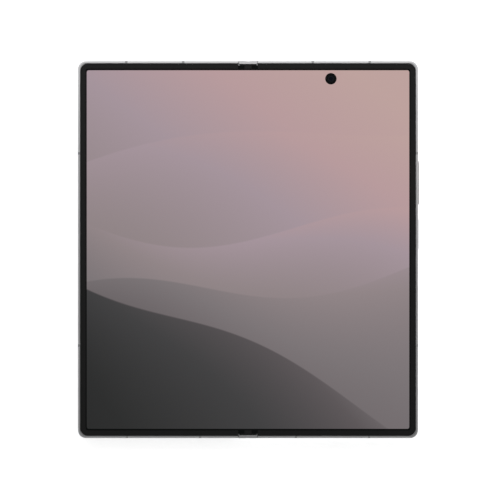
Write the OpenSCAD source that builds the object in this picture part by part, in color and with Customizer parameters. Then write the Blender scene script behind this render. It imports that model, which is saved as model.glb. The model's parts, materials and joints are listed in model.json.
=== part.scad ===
// A book-style folding phone, open flat. It lies on its back on a table at Z = 0, with the fold
// line along Y and its inner screen facing +Z. The half with the keys and the rear cameras is the
// main half (+X), and the half with the outer screen is the cover half (-X). Both halves turn on a
// narrow spine, each about its own pin, and two idler gears keep them in step.

/* [Body] */
// Height of the phone, along the fold line
body_h = 158.4; // [150:0.1:168]
// Width of one half, from the fold line to its outer edge
half_w = 71.45; // [69:0.05:78]
// Thickness of one half, from its back face to the top of its frame
body_t = 4.2; // [4.1:0.05:4.8]
// Radius of the four outer corners
corner_r = 3.4; // [2.6:0.1:6]
// Width of the metal rim, which is the wall of the frame
rim_w = 0.95; // [0.8:0.05:1.3]
// Chamfer along the long edges of the rim
rim_chamfer = 0.2; // [0.1:0.05:0.5]
// Depth of the ledge inside the rim
ledge_w = 1.6; // [1.4:0.1:2.2]
// Gap between the two halves at the fold line, on the back
seam = 0.1; // [0.06:0.02:0.3]
// Thickness of the plate that stiffens each half
midplate_t = 0.4; // [0.3:0.05:0.5]

/* [Fold] */
// Gap between the two frames when the phone is shut
closed_gap = 0.5; // [0.45:0.05:0.8]
// How far the spine stands out of the shut phone
spine_proud = 1.2; // [1:0.05:1.4]
// Thickness of the lip of each frame under the spine
lip_t = 0.45; // [0.4:0.05:0.6]
// Running gap between the spine and the frames
spine_clear = 0.1; // [0.06:0.02:0.2]
// Wall of the spine cover
spine_wall = 0.35; // [0.25:0.05:0.4]
// Thickness of the caps at the two ends of the spine, along Y
end_cap_t = 1.25; // [1:0.05:1.6]
// Half-width of the stretch of screen that bends
bend_w = 5; // [4.6:0.1:5.4]
// Diameter of the hinge pins
pin_d = 0.5; // [0.4:0.02:0.56]
// Radial running gap of the pins
pin_clear = 0.02; // [0.015:0.005:0.03]
// Teeth on each hinge gear
gear_teeth = 9; // [9:1:9]
// Distance of each hinge unit from the middle
hinge_unit_y = 56; // [50:1:60]
// Length of each hinge unit
hinge_unit_l = 16; // [15:0.5:19]
// Thickness of the wing plates under the bend
wing_t = 0.15; // [0.1:0.01:0.16]

/* [Inner screen] */
// Thickness of the screen laminate
screen_t = 0.4; // [0.35:0.01:0.45]
// Depth of the screen's surface under the top of the frame
screen_drop = 0.1; // [0.05:0.01:0.15]
// Thickness of the plate under each side of the screen
support_t = 0.2; // [0.15:0.01:0.25]
// Width of the black bezel
bezel_w = 2.35; // [2:0.05:3]
// How far the bezel stands above the frame
bezel_proud = 0.2; // [0.1:0.02:0.22]
// Diameter of the camera hole in the screen
inner_camera_d = 4.6; // [3.5:0.1:5]
// Distance of that camera from the fold line
inner_camera_x = 34.8; // [28:0.1:42]
// Distance of that camera from the top edge
inner_camera_drop = 7.5; // [7:0.1:9]

/* [Back] */
// Thickness of the rear glass and of the outer screen's glass
glass_t = 0.5; // [0.4:0.02:0.55]
// Distance from the fold line to the glass
glass_x = 4.6; // [4.4:0.1:6]
// Thickness of the outer screen's panel
cover_screen_t = 0.6; // [0.5:0.05:0.7]
// Distance of the outer screen's camera from the fold line
cover_camera_x = 36.6; // [30:0.1:42]
// Diameter of the hole for that camera
cover_camera_d = 3.8; // [3:0.1:4.2]
// Width of the camera island
island_w = 19; // [18:0.1:21]
// Height of the island above the rear glass
island_t = 1.3; // [1:0.05:1.8]
// Distance of the camera island from the outer and top edges
island_margin = 5; // [4.5:0.1:7]
// Distance between neighbouring lenses
lens_pitch = 17.5; // [16.5:0.1:18.5]
// Outer diameter of the lens rings
ring_d = 14.4; // [13.5:0.1:15]
// Height of the lens rings above the island
ring_t = 1.2; // [0.8:0.05:1.6]
// Depth of the lens windows under the rings' edge
window_drop = 0.25; // [0.1:0.05:0.4]
// Wall of the lens rings
ring_wall = 1.3; // [1:0.05:1.6]
// Diameter of the flash window
flash_d = 4.6; // [4:0.1:5.5]

/* [Keys and ports] */
// Length of the volume key
volume_l = 18.5; // [16:0.1:21]
// Distance of the volume key's middle above the phone's middle
volume_y = 28.1; // [26:0.1:29]
// Length of the side key
side_l = 13.1; // [11:0.1:14]
// Distance of the side key's middle above the phone's middle
side_y = 6.5; // [4:0.1:8]
// Height of both keys, through the thickness
key_h = 1.7; // [1.4:0.05:1.9]
// How far the volume key stands out
volume_proud = 0.48; // [0.35:0.01:0.6]
// How far the side key stands out
side_proud = 0.25; // [0.22:0.01:0.4]
// Travel of the side key
side_travel = 0.2; // [0.1:0.01:0.22]
// Tilt of the volume key each way, in degrees
volume_tilt = 1.5; // [1:0.1:1.6]
// Distance of the charging port from the fold line
port_x = 36; // [34:0.1:38]
// Distance of the card tray from the fold line
tray_x = 18.8; // [18.4:0.1:19.2]
// Length of the card tray's face
tray_face_l = 13.6; // [13.2:0.1:14.6]
// Height of the card tray's face
tray_face_h = 1.8; // [1.5:0.05:2]
// Diameter of the sound holes
sound_hole_d = 1; // [0.7:0.05:1.2]

/* [Hidden] */
$fn = 48;
eps = 0.01;
past = 1;          // how far a cutting tool runs past the face that it cuts
fit = 0.03;        // gap around a piece that is glued or pressed in
slip = 0.1;        // gap around a piece that slides
film = 0.02;       // glue between stacked layers
air = 0.3;         // gap between neighbours inside
mirrored = [1, 0, 0];

// The fold: both axes follow from the shut phone's gap and from the spine's reach
axis_z = (spine_proud + lip_t + spine_clear + body_t + closed_gap / 2) / 2;
axis_x = body_t + closed_gap / 2 - axis_z;
spine_r = axis_z - lip_t - spine_clear;
sweep_r = spine_r + spine_clear;
spine_floor = axis_z - spine_r + spine_wall;
spine_top = axis_z - slip;
half_h = body_h / 2;
cap_y = half_h - end_cap_t;
cap_top = axis_z + 0.8;
cap_land_w = 1.6;
edge_cap_w = 3;
edge_cap_foot_w = 7.2;

// Levels, counted from the back face
screen_top = body_t - screen_drop;
screen_z = screen_top - screen_t;
support_z = screen_z - support_t;
shelf_z = support_z;
midplate_z = shelf_z - midplate_t;
bezel_top = body_t + bezel_proud;
bezel_z = screen_top + fit;
back_lift = island_t + ring_t;
part_z = glass_t + 0.15;
part_top = midplate_z - 0.1;

// Frame
leg_w = 0.85;
screen_gap = 0.05;
screen_inset = rim_w + leg_w + screen_gap;
screen_corner_r = 1.5;
screen_x = half_w - screen_inset;
screen_y = half_h - screen_inset;
bezel_x = axis_x + sweep_r + slip;
bezel_corner_r = 0.9;
rail_x = 10;
bay_x = half_w - rim_w - ledge_w;
bay_y = half_h - rim_w - ledge_w;
bay_corner_r = 1;
glass_edge = half_w - rim_w;

// Wing plates: each tilts into its half as the phone shuts, and makes room for the bend
wing_x = axis_x + 0.6;
wing_pivot_x = 8.5;
wing_top = screen_z - film;
wing_pivot_z = wing_top - wing_t / 2;
wing_y = bay_y - 0.3;
wing_tilt = 10;
wing_play = 0.01;
rail_slope_z = wing_top - wing_t - (wing_pivot_x - axis_x - spine_r) * tan(wing_tilt) - slip;
rail_seat_x = wing_pivot_x - 0.02;
rail_seat_z = wing_top - wing_t - wing_play;
support_x = wing_pivot_x + wing_t / 2 + 0.05;

// Hinge units
gear_r = axis_x / 2;
gear_module = axis_x / gear_teeth;
gear_tip = gear_r + 0.8 * gear_module;
gear_root = gear_r - 1.1 * gear_module;
gear_pressure = 20;
gear_play = 0.04;
root_flare = 5;     // how much wider a tooth's root is on each side, in degrees
idler_z = axis_z - gear_r * sqrt(3);
cheek_t = 1.2;
gear_face = 2;
gear_gap = 0.2;
cheek_top = axis_z + pin_d / 2 + 0.15;
bracket_base_t = 0.3;
knuckle_r = 0.45;
unit_ys = [-hinge_unit_y, hinge_unit_y];
unit_in = hinge_unit_l / 2 - cheek_t;
gear_y0 = gear_gap - unit_in;
gear_y1 = gear_y0 + gear_face;
strap_z = 1.5;
strap_t = 0.6;
strap_l = 9.4;
strap_y0 = gear_y1 + gear_gap;
strap_y1 = unit_in - 2.2;
strap_slot = 0.15;
disc_t = 0.24;
disc_gap = 0.08;
discs = 6;
screw_x = 7.2;
screw_inset = 1.4;
screw_head_r = 0.7;
screw_head_t = 0.3;
screw_r = 0.4;
screw_depth = 0.7;
base_screw_y = 3;
base_screw_head_t = 0.22;
base_screw_depth = 0.2;
flex_z = 2.35;
flex_t = 0.12;
flex_w = 12;
flex_half_l = 12;
flex_ys = [-20, 20];

// Cameras
island_l = 2 * lens_pitch + island_w;
island_x = half_w - island_margin - island_w / 2;
island_y = half_h - island_margin - island_l / 2;
island_flange = 0.8;
island_flange_t = 0.3;
lens_ys = [island_y + lens_pitch, island_y, island_y - lens_pitch];
lens_r = ring_d / 2 - ring_wall;
lens_shoulder = 0.4;
ring_seat = 0.8;
ultrawide_barrel_r = 4.4;
ultrawide_housing = 10.4;
wide_barrel_r = 5;
wide_housing = 12.6;
tele_barrel_r = 4.7;
tele_housing = 11.4;
window_t = 0.6;
window_z = window_drop - back_lift;
flash_x = island_x - island_w / 2 - flash_d;
flash_y = island_y + lens_pitch / 2;
inner_camera_y = half_h - inner_camera_drop;
inner_housing = 6.4;
cover_camera_y = inner_camera_y - 1;
cover_housing = 5.8;

// Antenna gaps in the rim: places along the top, the bottom and the outer side
insert_w = 1;
insert_top = [27.2, 51.1];
insert_bottom = [20.1, 50.8];
insert_side = [-40.3, 40.4];

// Magnets in the ledge
magnet_l = 9;
magnet_t = 0.9;
magnet_h = 1.5;
magnet_z = shelf_z - magnet_h - slip;
magnet_x = bay_x + 0.3;
magnet_ys = [-58, -22, 56];

// Keys
key_z = body_t / 2;
flange_t = 0.55;
flange_over = 0.7;
flange_play = 0.2;
flange_gap = (volume_l / 2 + flange_over) * sin(volume_tilt) + slip;
volume_pivot_x = half_w - rim_w - flange_gap - flange_t / 2;
rib_r = 0.42;
rib_stop_x = volume_pivot_x - rib_r - screen_gap;
side_flange_x = half_w - rim_w - fit;
strip_t = 0.2;
strip_h = 1.8;
strip_x = bay_x - 0.3;
strip_face_x = strip_x + strip_t;
dome_r = 0.8;
dome_spread = 6;
side_dome_x = side_flange_x - flange_t - side_travel - screen_gap;
volume_dome_x = volume_pivot_x - flange_t / 2 - (dome_spread + dome_r) * sin(volume_tilt) - screen_gap;

// Port, tray and sound holes
port_w = 8.34;
port_h = 2.56;
port_wall = 0.18;
port_l = 7.2;
port_back = 0.5;
port_set_in = 0.2;
port_z = glass_t + 0.06 + port_wall + port_h / 2;
tongue_w = 6.69;
tongue_t = 0.7;
tongue_set_in = 1;
tray_z = body_t / 2;
tray_t = 0.8;
tray_l = 19;
tray_body_w = 12.6;
tray_rail = 0.8;
tray_bridge = 4;
tray_back = 3.4;
eject_r = 0.42;
eject_inset = 1.1;
reader_side = 0.65;
reader_sheet = 0.3;
reader_stop = 0.6;
reader_w = tray_body_w + 2 * (reader_side + 0.15);
reader_y = half_h - tray_l - past - reader_stop;
speaker_x = 59;
speaker_pitch = 2.1;
speaker_holes = 5;
mic_x = 46.5;
top_mic_x = 45;
earpiece_x = 36;
earpiece_slot_l = 9;
earpiece_slot_h = 0.9;

// Inside, from the bottom edge to the top edge
board_z = 1.75;
board_t = 0.5;
board_gap = 1;
inside_x = rail_x + board_gap;
port_end = port_l - half_h;
speaker_w = 16.8;
speaker_end = 12.3 - bay_y;
speaker_duct_w = 12;
speaker_duct_h = 1.2;
haptic_w = 11.6;
haptic_l = 8.9;
haptic_y = 2 - bay_y;
port_board_strip = 5.2;
port_board_end = haptic_y + haptic_l + port_board_strip;
battery_side = 3;
battery_gap = 2.5;
battery_x0 = rail_x + battery_side;
battery_x1 = bay_x - battery_side;
battery_y0 = port_board_end + battery_gap;
battery_y1 = island_y - island_l / 2 - battery_gap - island_flange;
coil_r = 22;
coil_bore_r = 11;
coil_t = 0.3;
board_x1 = island_x - island_w / 2 - 1.6;
board_y0 = battery_y1 + 2;
board_y1 = bay_y - board_gap;
shield_inset = 3;
shield_mid_x = (battery_x0 + flash_x) / 2 - 1;
shield_l = 28;
cover_part_z = glass_t + film + cover_screen_t + slip;
cover_board_l = 33;
cover_board_y1 = cover_camera_y - cover_housing / 2 - 1.8;
cover_board_y0 = cover_board_y1 - cover_board_l;
cover_battery_y1 = cover_board_y0 - battery_side;
cover_battery_inset = 10.6;
cover_battery_y0 = cover_battery_inset - bay_y;
earpiece_w = 14;
earpiece_l = 5.7;

// ---------------------------------------------------------------- helpers

// Lifts a piece so that the phone rests on its lens rings at Z = 0
module lift() {
    translate([0, 0, back_lift]) children();
}

// A 2D outline in X and Z, drawn out along Y from y0 to y1
module along_y(y0, y1) {
    translate([0, y1, 0]) rotate([90, 0, 0]) linear_extrude(y1 - y0) children();
}

// A 2D outline in Y and Z, drawn out along X from x0 to x1
module along_x(x0, x1) {
    translate([x0, 0, 0]) rotate([90, 0, 90]) linear_extrude(x1 - x0) children();
}

// A round bar or bore along Y, about the line at x and z
module rod(x, z, y0, y1, r) {
    translate([x, y1, z]) rotate([90, 0, 0]) cylinder(r = r, h = y1 - y0);
}

// An upright round bar or bore
module post(x, y, z0, z1, r) {
    translate([x, y, z0]) cylinder(r = r, h = z1 - z0);
}

// A plain block given by its lowest and highest corners
module block(low, high) {
    translate(low) cube(high - low);
}

// A bar with round ends, centred, its length along the first axis
module stadium(l, h) {
    square([l - h, h], center = true);
    for (s = [-1, 1]) translate([s * (l - h) / 2, 0]) circle(d = h);
}

// The outline of one half: square at the fold side, round at the outer corners
module half_outline(x0, x1, y, r) {
    translate([x0, -y]) square([x1 - r - x0, 2 * y]);
    translate([x0, r - y]) square([x1 - x0, 2 * (y - r)]);
    for (s = [-1, 1]) translate([x1 - r, s * (y - r)]) circle(r);
}

module half_slab(z0, z1, x0, x1, y, r) {
    translate([0, 0, z0]) linear_extrude(z1 - z0) half_outline(x0, x1, y, r);
}

// ---------------------------------------------------------------- frame

// One half as a solid block with its rim chamfered
module rim_block() {
    c = rim_chamfer;
    intersection() {
        half_slab(0, body_t, seam / 2, half_w, half_h, corner_r);
        along_y(-half_h - past, half_h + past)
            polygon([[0, 0], [half_w - c, 0], [half_w, c], [half_w, body_t - c], [half_w - c, body_t],
                [0, body_t]]);
        along_x(0, half_w + past)
            polygon([[c - half_h, 0], [half_h - c, 0], [half_h, c], [half_h, body_t - c],
                [half_h - c, body_t], [c - half_h, body_t], [-half_h, body_t - c], [-half_h, c]]);
    }
}

// The room that the spine turns in
module spine_room() {
    along_y(-half_h - past, half_h + past) {
        translate([axis_x, axis_z]) circle(sweep_r);
        translate([-past, lip_t]) square([axis_x + past, body_t]);
        translate([-past, axis_z]) square([axis_x + sweep_r + past, body_t]);
    }
}

// The room above the rail that the wing plate tilts into, with the seat for its rolled edge
module wing_room() {
    end = support_x - 0.02;
    along_y(-wing_y - slip, wing_y + slip)
        polygon([[axis_x, rail_slope_z], [axis_x + spine_r, rail_slope_z],
            [rail_seat_x, rail_seat_z - 0.05], [rail_seat_x, rail_seat_z], [end, rail_seat_z],
            [end, body_t + past], [axis_x, body_t + past]]);
}

// Pockets that the hinge arms drop into, with their screw holes
module arm_pockets() {
    for (y = unit_ys) translate([0, y, 0]) {
        block([axis_x, strap_y0 - slip, strap_z], [strap_l + slip, strap_y1 + slip, body_t]);
        for (s = screw_spots()) post(screw_x, s, strap_z - screw_depth - 0.05, strap_z + eps, screw_r);
    }
}

// A clear way across the hinge for each flat cable
module flex_ways(x0, x1) {
    for (y = flex_ys)
        block([x0, y - flex_w / 2 - slip, flex_z - slip], [x1, y + flex_w / 2 + slip, body_t]);
}

module half_frame() {
    difference() {
        rim_block();
        half_slab(shelf_z, body_t + past, -past, half_w - rim_w, half_h - rim_w, corner_r - rim_w);
        half_slab(-past, glass_t, glass_x, glass_edge, half_h - rim_w, corner_r - rim_w);
        half_slab(glass_t - eps, body_t, rail_x, bay_x, bay_y, bay_corner_r);
        spine_room();
        wing_room();
        arm_pockets();
        flex_ways(axis_x, rail_x + past);
        antenna_slots();
        magnet_pockets();
    }
}

module antenna_slots() {
    w = insert_w / 2;
    top = body_t + past;
    for (x = insert_top) block([x - w, half_h - rim_w, -past], [x + w, half_h + past, top]);
    for (x = insert_bottom) block([x - w, -half_h - past, -past], [x + w, rim_w - half_h, top]);
    for (y = insert_side) block([half_w - rim_w, y - w, -past], [half_w + past, y + w, top]);
}

module half_inserts() {
    intersection() {
        rim_block();
        antenna_slots();
    }
}

module magnet_pockets() {
    l = magnet_l / 2 + fit;
    for (y = magnet_ys)
        block([magnet_x - fit, y - l, magnet_z - fit], [magnet_x + magnet_t + fit, y + l, shelf_z + past]);
}

module half_magnets() {
    for (y = magnet_ys)
        translate([magnet_x, y - magnet_l / 2, magnet_z]) cube([magnet_t, magnet_l, magnet_h]);
}

// A slot through the rim and the ledge: side is 1 on the top edge and -1 on the bottom edge
module edge_slot(side, x, z, l, h) {
    y = side * (half_h + bay_y) / 2;
    reach = (half_h - bay_y) / 2 + past;
    translate([x, 0, z]) along_y(y - reach, y + reach) stadium(l, h);
}

// A round hole through the rim and the ledge
module sound_hole(side, x) {
    y = side * (half_h + bay_y) / 2;
    reach = (half_h - bay_y) / 2 + past;
    rod(x, body_t / 2, y - reach, y + reach, sound_hole_d / 2, $fn = 24);
}

module sound_row(side, x) {
    for (i = [0 : speaker_holes - 1])
        sound_hole(side, x + (i - (speaker_holes - 1) / 2) * speaker_pitch);
}

module main_frame() {
    color("gainsboro") lift() difference() {
        half_frame();
        key_slot(volume_y, volume_l);
        key_slot(side_y, side_l);
        edge_slot(-1, port_x, port_z, port_w + 2 * port_wall + fit, port_h + 2 * port_wall + fit);
        edge_slot(1, tray_x, tray_z, tray_face_l + slip, tray_face_h + slip);
        sound_row(-1, speaker_x);
        sound_hole(-1, mic_x);
        sound_hole(1, top_mic_x);
    }
}

module cover_frame() {
    color("gainsboro") lift() mirror(mirrored) difference() {
        half_frame();
        edge_slot(1, earpiece_x, body_t / 2, earpiece_slot_l, earpiece_slot_h);
        sound_row(1, speaker_x);
        sound_hole(-1, mic_x);
    }
}

module main_antenna_inserts() {
    color("darkgray") lift() half_inserts();
}

module cover_antenna_inserts() {
    color("darkgray") lift() mirror(mirrored) half_inserts();
}

module half_midplate() {
    half_slab(midplate_z, shelf_z, rail_x, bay_x, bay_y, bay_corner_r);
}

module main_midplate() {
    w = port_w / 2 + board_gap;
    color("silver") lift() difference() {
        half_midplate();
        post(inner_camera_x, inner_camera_y, 0, body_t, inner_camera_d / 2 + 0.8);
        block([port_x - w, -bay_y - past, 0], [port_x + w, port_end + board_gap, body_t]);
    }
}

module cover_midplate() {
    color("silver") lift() mirror(mirrored) half_midplate();
}

module main_magnets() {
    color("dimgray") lift() half_magnets();
}

module cover_magnets() {
    color("dimgray") lift() mirror(mirrored) half_magnets();
}

// ---------------------------------------------------------------- inner screen

module half_support() {
    half_slab(support_z, screen_z, support_x, screen_x - slip, screen_y - slip, screen_corner_r);
}

module main_support_plate() {
    color("slategray") lift() difference() {
        half_support();
        post(inner_camera_x, inner_camera_y, 0, body_t, inner_camera_d / 2 + 0.3);
    }
}

module cover_support_plate() {
    color("slategray") lift() mirror(mirrored) half_support();
}

module half_screen() {
    half_slab(screen_z, screen_top, bend_w, screen_x, screen_y, screen_corner_r);
}

module main_screen() {
    color([0.55, 0.48, 0.48]) lift() half_screen();
}

module inner_cover_screen() {
    color([0.45, 0.4, 0.42]) lift() mirror(mirrored) half_screen();
}

// The stretch that bends: it lies flat here and curls between the halves when the phone shuts
module bend_screen() {
    color([0.5, 0.44, 0.45]) lift() block([-bend_w, -screen_y, screen_z], [bend_w, screen_y, screen_top]);
}

// A black frame, L-shaped in section: its leg stands on the ledge and its arm laps over the screen
module half_bezel() {
    outer = half_w - rim_w - fit;
    outer_y = half_h - rim_w - fit;
    inner = half_w - rim_w - bezel_w;
    inner_y = half_h - rim_w - bezel_w;
    leg_r = screen_corner_r + screen_gap;
    difference() {
        half_slab(shelf_z, bezel_top, bezel_x, outer, outer_y, corner_r - rim_w - fit);
        half_slab(shelf_z - past, bezel_z, 0, outer - leg_w, outer_y - leg_w, leg_r);
        half_slab(0, bezel_top + past, 0, inner, inner_y, bezel_corner_r);
    }
}

module main_bezel() {
    color([0.13, 0.13, 0.14]) lift() half_bezel();
}

module cover_bezel() {
    color([0.13, 0.13, 0.14]) lift() mirror(mirrored) half_bezel();
}

module inner_camera() {
    w = inner_housing / 2;
    color([0.05, 0.05, 0.06]) lift() translate([inner_camera_x, inner_camera_y, 0]) {
        post(0, 0, part_top - eps, screen_z - film, inner_camera_d / 2 - 0.2);
        block([-w, -w, part_z + 0.4], [w, w, part_top]);
    }
}

// ---------------------------------------------------------------- hinge

// Places of the two screws along each arm
function screw_spots() = [strap_y0 + screw_inset, strap_y1 - screw_inset];

// The involute of a circle of radius b, at roll angle a in degrees
function involute(b, a) = b * sqrt(1 + pow(a * PI / 180, 2));
function involute_turn(a) = a - atan(a * PI / 180);

// One tooth's outline, root to tip and back, about the angle t. The flanks start at the base circle.
gear_base = gear_r * cos(gear_pressure);
pitch_roll = tan(gear_pressure) * 180 / PI;
tip_roll = sqrt(pow(gear_tip / gear_base, 2) - 1) * 180 / PI;
tooth_half = 90 / gear_teeth - gear_play / gear_r * 90 / PI + involute_turn(pitch_roll);
tooth_pitch = 360 / gear_teeth;
flank_steps = 3;
function polar(r, a) = [r * cos(a), r * sin(a)];
function tooth(t) = concat(
    [polar(gear_root, t - tooth_half - root_flare)],
    [for (i = [0 : flank_steps]) let (a = tip_roll * i / flank_steps)
        polar(involute(gear_base, a), t - tooth_half + involute_turn(a))],
    [for (i = [flank_steps : -1 : 0]) let (a = tip_roll * i / flank_steps)
        polar(involute(gear_base, a), t + tooth_half - involute_turn(a))],
    [polar(gear_root, t + tooth_half + root_flare)]);

// All four gears of a unit are in mesh with a tooth at half a pitch from +X
module gear_outline() {
    polygon([for (k = [0 : gear_teeth - 1]) each tooth(tooth_pitch * (k + 0.5))]);
}

// An arm of the main half, in X and Z: knuckle, web and strap
module arm_side() {
    web = axis_x + knuckle_r;
    top = strap_z + strap_t;
    translate([axis_x, axis_z]) circle(knuckle_r);
    polygon([[axis_x - knuckle_r, axis_z], [web, axis_z], [web + 0.1, top], [strap_l, top],
        [strap_l, strap_z], [axis_x, strap_z]]);
}

// The toothed part of an arm: the teeth that never reach the idler are cut back to clear the screen
module arm_gear(side) {
    reach = gear_tip + past;
    inner = side > 0 ? reach : gear_root;
    intersection() {
        translate([side * axis_x, axis_z]) gear_outline();
        translate([side * axis_x - inner, axis_z - reach])
            square([reach + gear_root, reach + screen_z - axis_z - 0.08]);
    }
}

module arms(side) {
    top = strap_z + strap_t;
    for (y = unit_ys) translate([0, y, 0]) difference() {
        union() {
            along_y(strap_y0, strap_y1) mirror([side > 0 ? 0 : 1, 0]) arm_side();
            rod(side * axis_x, axis_z, gear_y0, strap_y1, knuckle_r);
            along_y(gear_y0, gear_y1) arm_gear(side);
        }
        rod(side * axis_x, axis_z, -unit_in, unit_in, pin_d / 2 + pin_clear);
        for (s = screw_spots())
            post(side * screw_x, s, strap_z - past, top + past, screw_r + fit);
    }
}

module screws(side) {
    top = strap_z + strap_t;
    for (y = unit_ys, s = screw_spots()) {
        post(side * screw_x, y + s, top, top + screw_head_t, screw_head_r);
        post(side * screw_x, y + s, strap_z - screw_depth, top + eps, screw_r - film);
    }
}

module main_hinge_arms() {
    color("lightslategray") lift() arms(1);
}

module cover_hinge_arms() {
    color("lightslategray") lift() arms(-1);
}

module main_hinge_screws() {
    color("dimgray") lift() screws(1);
}

module cover_hinge_screws() {
    color("dimgray") lift() screws(-1);
}

// A thin steel plate whose rolled outer edge rests on the rail
module half_wing() {
    along_y(-wing_y, wing_y) {
        translate([wing_x, wing_top - wing_t]) square([wing_pivot_x - wing_x, wing_t]);
        translate([wing_pivot_x, wing_pivot_z]) circle(wing_t / 2);
    }
}

module main_wing_plate() {
    color("lightsteelblue") lift() half_wing();
}

module cover_wing_plate() {
    color("lightsteelblue") lift() mirror(mirrored) half_wing();
}

// The spine's outline: an arc about each axis and a flat floor between them, cut off at the level top
module spine_outline(r, top) {
    x = axis_x + r + past;
    z = axis_z - r - past;
    intersection() {
        union() {
            for (s = [-1, 1]) translate([s * axis_x, axis_z]) circle(r);
            translate([-axis_x, axis_z - r]) square([2 * axis_x, 2 * r]);
        }
        translate([-x, z]) square([2 * x, top - z]);
    }
}

module spine_cover() {
    slot_y0 = strap_y0 - strap_slot;
    slot_y1 = strap_y1 + strap_slot;
    hole_z = spine_floor - base_screw_depth - film;
    color("silver") lift() difference() {
        along_y(-cap_y, cap_y) spine_outline(spine_r, spine_top);
        along_y(-cap_y - past, cap_y + past) spine_outline(spine_r - spine_wall, body_t);
        for (y = unit_ys) {
            block([-half_w, y + slot_y0, strap_z - strap_slot], [half_w, y + slot_y1, body_t]);
            for (s = [-1, 1])
                post(0, y + s * base_screw_y, hole_z, spine_floor + past, screw_r + film);
        }
        flex_ways(-half_w, half_w);
    }
}

// Each cap closes the spine and has a small land at the height of the frames' tops
module spine_end_caps() {
    color("silver") lift() for (s = [0, 1]) mirror([0, s, 0]) along_y(cap_y, half_h) {
        spine_outline(spine_r, cap_top);
        translate([-cap_land_w / 2, cap_top - eps]) square([cap_land_w, body_t - cap_top + eps]);
    }
}

// A soft cap over each end of the bend: its foot fills the end of the spine, and it laps over the screen
module bend_edge_caps() {
    w = edge_cap_w / 2;
    foot = edge_cap_foot_w / 2;
    y1 = cap_y - fit;
    color([0.1, 0.1, 0.1]) lift() for (s = [0, 1]) mirror([0, s, 0]) {
        block([-w, half_h - rim_w - bezel_w, bezel_z], [w, y1, body_t + slip]);
        block([-foot, screen_y + screen_gap, screen_z], [foot, y1, bezel_z + eps]);
    }
}

// Each unit's bracket: a base on the spine's floor and two cheeks that carry the pins
module hinge_brackets() {
    inner_r = spine_r - spine_wall - fit;
    w = wing_x - slip;
    color("darkslategray") lift() for (y = unit_ys) translate([0, y, 0]) difference() {
        union() {
            for (y0 = [-unit_in - cheek_t, unit_in]) along_y(y0, y0 + cheek_t) intersection() {
                spine_outline(inner_r, cheek_top);
                translate([-w, 0]) square([2 * w, body_t]);
            }
            along_y(-unit_in - eps, unit_in + eps) intersection() {
                spine_outline(inner_r, spine_floor + fit + bracket_base_t);
                translate([-axis_x, 0]) square([2 * axis_x, body_t]);
            }
        }
        for (s = [-1, 1]) {
            rod(s * axis_x, axis_z, -hinge_unit_l, hinge_unit_l, pin_d / 2);
            rod(s * gear_r, idler_z, -hinge_unit_l, hinge_unit_l, pin_d / 2);
            rod(s * gear_r, idler_z, -unit_in, gear_y1 + gear_gap, gear_tip + slip / 2);
            post(0, s * base_screw_y, 0, body_t, screw_r + film);
        }
    }
}

module hinge_pins() {
    color("gray") lift() for (y = unit_ys, s = [-1, 1]) {
        rod(s * axis_x, axis_z, y - hinge_unit_l / 2, y + hinge_unit_l / 2, pin_d / 2);
        rod(s * gear_r, idler_z, y - unit_in - cheek_t, y + gear_y1 + gear_gap, pin_d / 2);
    }
}

// Stacks of disc springs between each arm and the cheek: they clamp the arm, so the fold stays put
module torque_springs() {
    color("goldenrod") lift() for (y = unit_ys, s = [-1, 1], i = [0 : discs - 1]) {
        y0 = y + strap_y1 + strap_slot + i * (disc_t + disc_gap);
        difference() {
            rod(s * axis_x, axis_z, y0 + disc_gap, y0 + disc_gap + disc_t, knuckle_r);
            rod(s * axis_x, axis_z, y0, y0 + past, pin_d / 2 + pin_clear);
        }
    }
}

module bracket_screws() {
    seat = spine_floor + fit + bracket_base_t;
    color("dimgray") lift() for (y = unit_ys, s = [-1, 1]) {
        post(0, y + s * base_screw_y, seat, seat + base_screw_head_t, screw_head_r);
        post(0, y + s * base_screw_y, spine_floor - base_screw_depth, seat + eps, screw_r);
    }
}

module idlers(side) {
    for (y = unit_ys) difference() {
        along_y(y + gear_y0, y + gear_y1) translate([side * gear_r, idler_z]) gear_outline();
        rod(side * gear_r, idler_z, y - unit_in, y + unit_in, pin_d / 2 + pin_clear);
    }
}

module main_idler_gears() {
    color("burlywood") lift() idlers(1);
}

module cover_idler_gears() {
    color("burlywood") lift() idlers(-1);
}

// Flat cables that join the two halves' boards through the spine
module hinge_flex_cables() {
    color("chocolate") lift() for (y = flex_ys)
        translate([-flex_half_l, y - flex_w / 2, flex_z]) cube([2 * flex_half_l, flex_w, flex_t]);
}

// ---------------------------------------------------------------- back

module half_glass() {
    y = half_h - rim_w - fit;
    half_slab(0, glass_t, glass_x + fit, glass_edge - fit, y, corner_r - rim_w - fit);
}

// The island's outline grown by a margin, from z0 to z1
module island_slab(grow, z0, z1) {
    translate([island_x, island_y, z0]) linear_extrude(z1 - z0) rotate(90)
        stadium(island_l + 2 * grow, island_w + 2 * grow);
}

module main_back_glass() {
    color("whitesmoke") lift() difference() {
        half_glass();
        island_slab(fit, -past, body_t);
        post(flash_x, flash_y, -past, body_t, flash_d / 2 + fit);
    }
}

module cover_glass() {
    color([0.1, 0.1, 0.12]) lift() mirror(mirrored) half_glass();
}

module cover_screen() {
    z0 = glass_t + film;
    color([0.2, 0.2, 0.22]) lift() mirror(mirrored) difference() {
        half_slab(z0, z0 + cover_screen_t, rail_x + 0.2, bay_x - 0.2, bay_y - 0.2, screen_corner_r);
        post(cover_camera_x, cover_camera_y, 0, body_t, cover_camera_d / 2);
    }
}

module camera_island() {
    z1 = glass_t + film;
    color("silver") lift() difference() {
        union() {
            island_slab(0, -island_t, z1 + eps);
            island_slab(island_flange, z1, z1 + island_flange_t);
        }
        for (y = lens_ys) {
            post(island_x, y, -island_t - past, ring_seat - island_t, ring_d / 2 + fit);
            post(island_x, y, -island_t - past, body_t, lens_r - lens_shoulder);
        }
    }
}

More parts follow.
